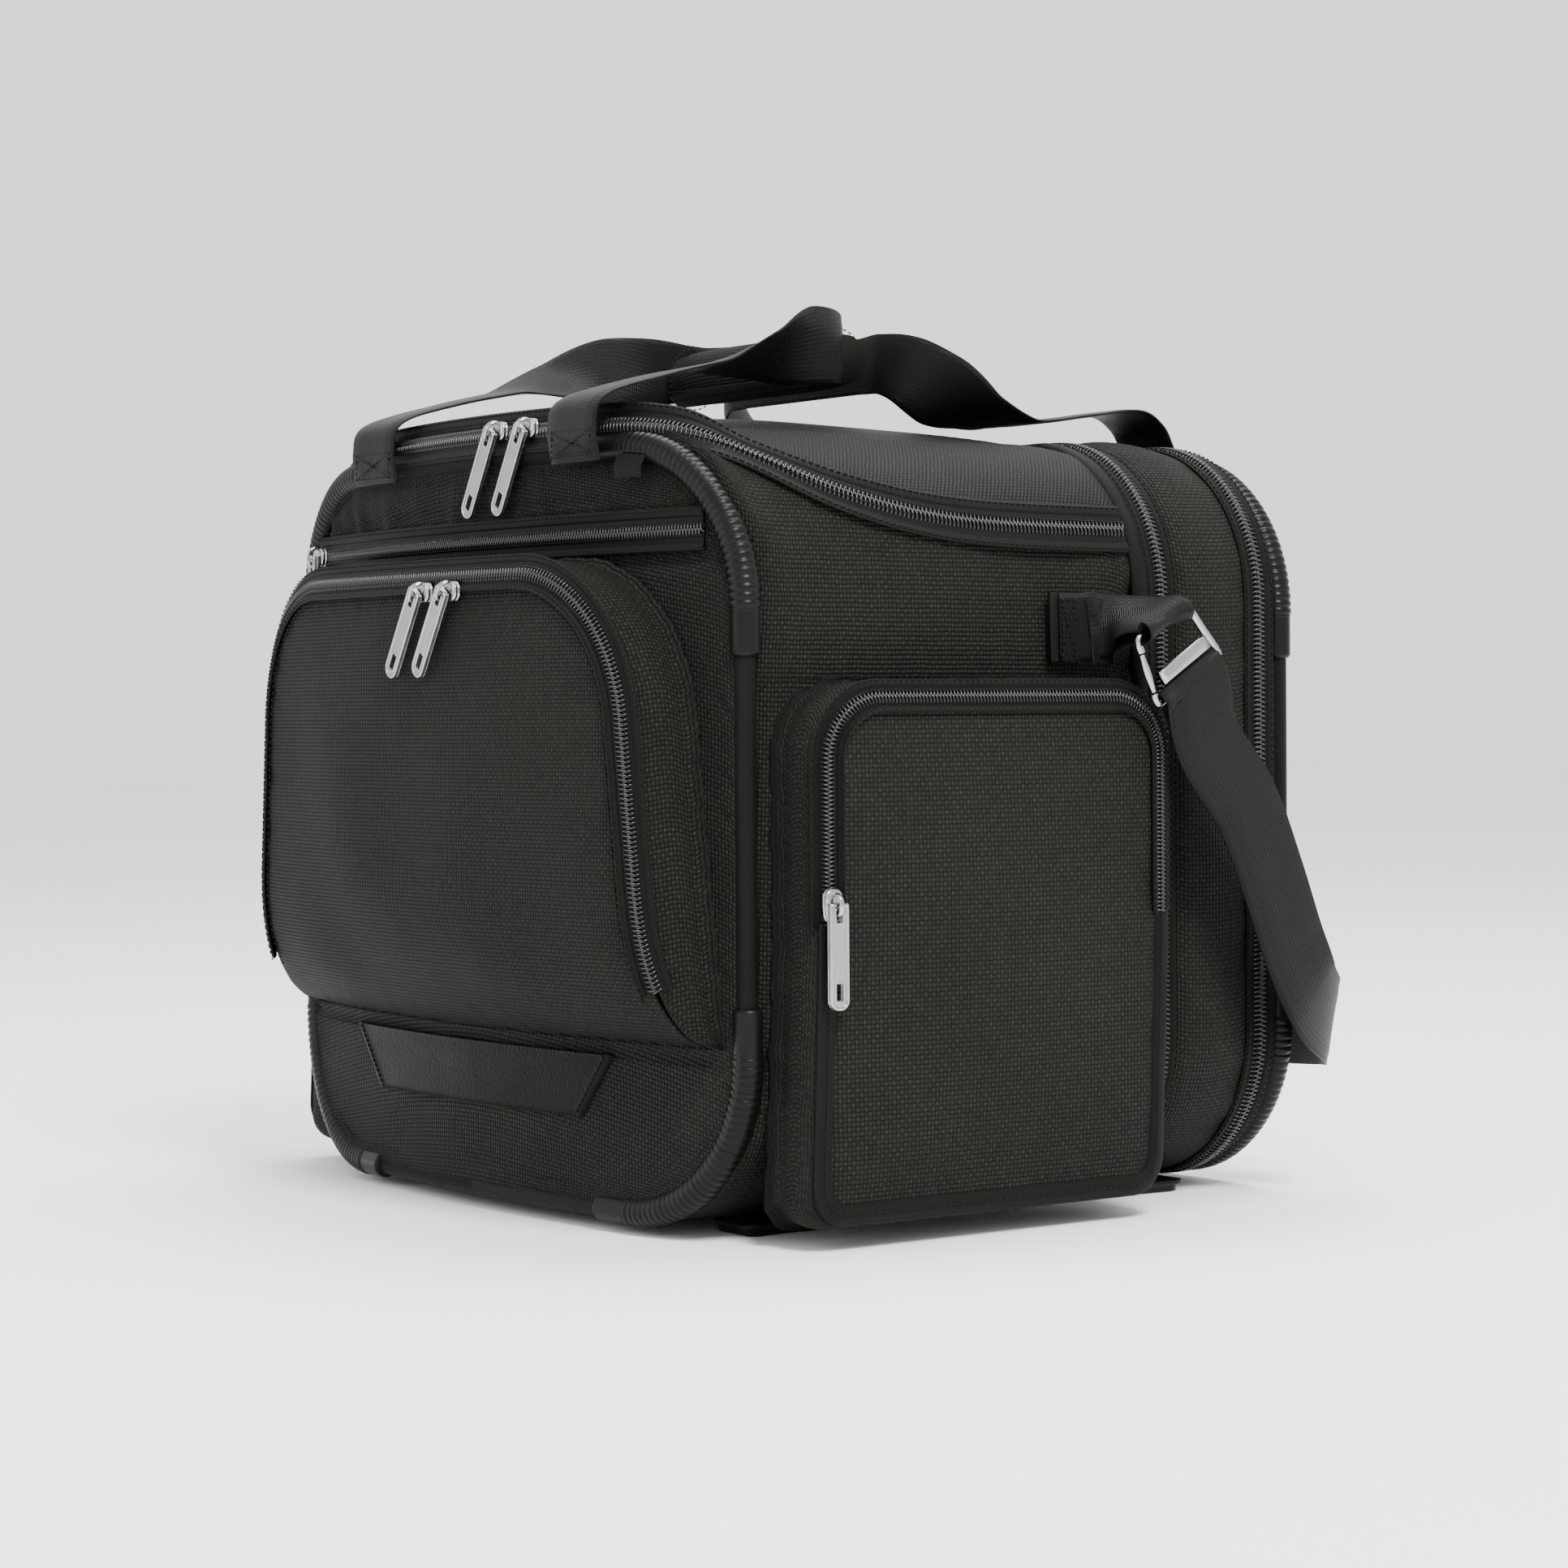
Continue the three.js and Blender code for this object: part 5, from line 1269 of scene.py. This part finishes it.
q = rounded(-183.5, 183.5, 10.5, 338.5, 65, 65, 300)
q = (0, 174.5) + (q - (0, 174.5)) * np.linspace(1, 0.0005, 24)[:, None, None]
rows = upright(q, 211.8)
rows[..., 1] += wobble(rows, 0.5, 120, 61)
divider = surface("inner_wall", rows, LINING, 2.6, None, 0.0, closed_u=True)
place(divider, "body", "rear_wall", slot="lining")
paint("base_board", BOARD)

tag_path = np.array([(126, float(front_y(126, 4.5)), 333.0), (126, float(front_y(126, 6.6)), 328.5),
                     (126, float(front_y(126, 6.4)), 323.0)])
tag = ribbon("side_tag", [(*q, 1, 0.14, -0.12) for q in tag_path], 17, 1.2, 20, BINDING)
place(tag, "body")


# ---------- camera, light and floor ----------
azimuth, elevation = math.radians(54.259), math.radians(1.167)
back = Vector((math.sin(azimuth) * math.cos(elevation), -math.cos(azimuth) * math.cos(elevation),
               math.sin(elevation)))
right = (-back).cross(Vector((0, 0, 1))).normalized()
up = right.cross(-back)
roll = math.radians(0.409)
right, up = (right * math.cos(roll) - up * math.sin(roll),
             right * math.sin(roll) + up * math.cos(roll))
camera = bpy.data.objects.new("camera", bpy.data.cameras.new("camera"))
link(camera)
camera.data.sensor_width = 36
camera.data.lens = 84.41
camera.data.clip_start, camera.data.clip_end = 0.05, 50
where = Vector((0, 130 - SHIFT, 170)) + back * 1748.36 + right * 18.746 + up * 19.207
camera.matrix_world = Matrix((
    (right.x, up.x, back.x, where.x / 1000), (right.y, up.y, back.y, where.y / 1000),
    (right.z, up.z, back.z, where.z / 1000), (0, 0, 0, 1)))
bpy.context.scene.camera = camera

world = bpy.data.worlds.new("studio")
world.use_nodes = True
world.node_tree.nodes["Background"].inputs[0].default_value = (0.93, 0.94, 0.95, 1)
world.node_tree.nodes["Background"].inputs[1].default_value = 1.7
bpy.context.scene.world = world
floor_look = Graph("floor")
floor_vec = floor_look.place()
FLOOR = floor_look.finish(floor_look.mix(floor_look.noise(floor_vec, 3, 2), (0.93, 0.93, 0.93),
                                         (0.95, 0.95, 0.95)), 0.7)
floor_mesh = bpy.data.meshes.new("floor")
floor_mesh.from_pydata([(-9, -9, 0), (9, -9, 0), (9, 9, 0), (-9, 9, 0)], [], [(0, 1, 2, 3)])
floor_mesh.materials.append(FLOOR)
floor = bpy.data.objects.new("floor", floor_mesh)
link(floor)


def lamp(name, place_at, aim, size, power):
    data = bpy.data.lights.new(name, "AREA")
    data.shape, data.size, data.energy = "DISK", size, power
    obj = bpy.data.objects.new(name, data)
    obj.location = place_at
    obj.rotation_euler = (Vector(aim) - Vector(place_at)).to_track_quat("-Z", "Y").to_euler()
    link(obj)


lamp("key", (1.9, -0.5, 2.2), (0.05, 0, 0.2), 0.9, 130)
lamp("top", (-0.3, 0.5, 2.6), (0, 0, 0.2), 1.4, 70)
lamp("fill", (-0.9, -2.4, 1.1), (0, 0, 0.2), 1.4, 20)
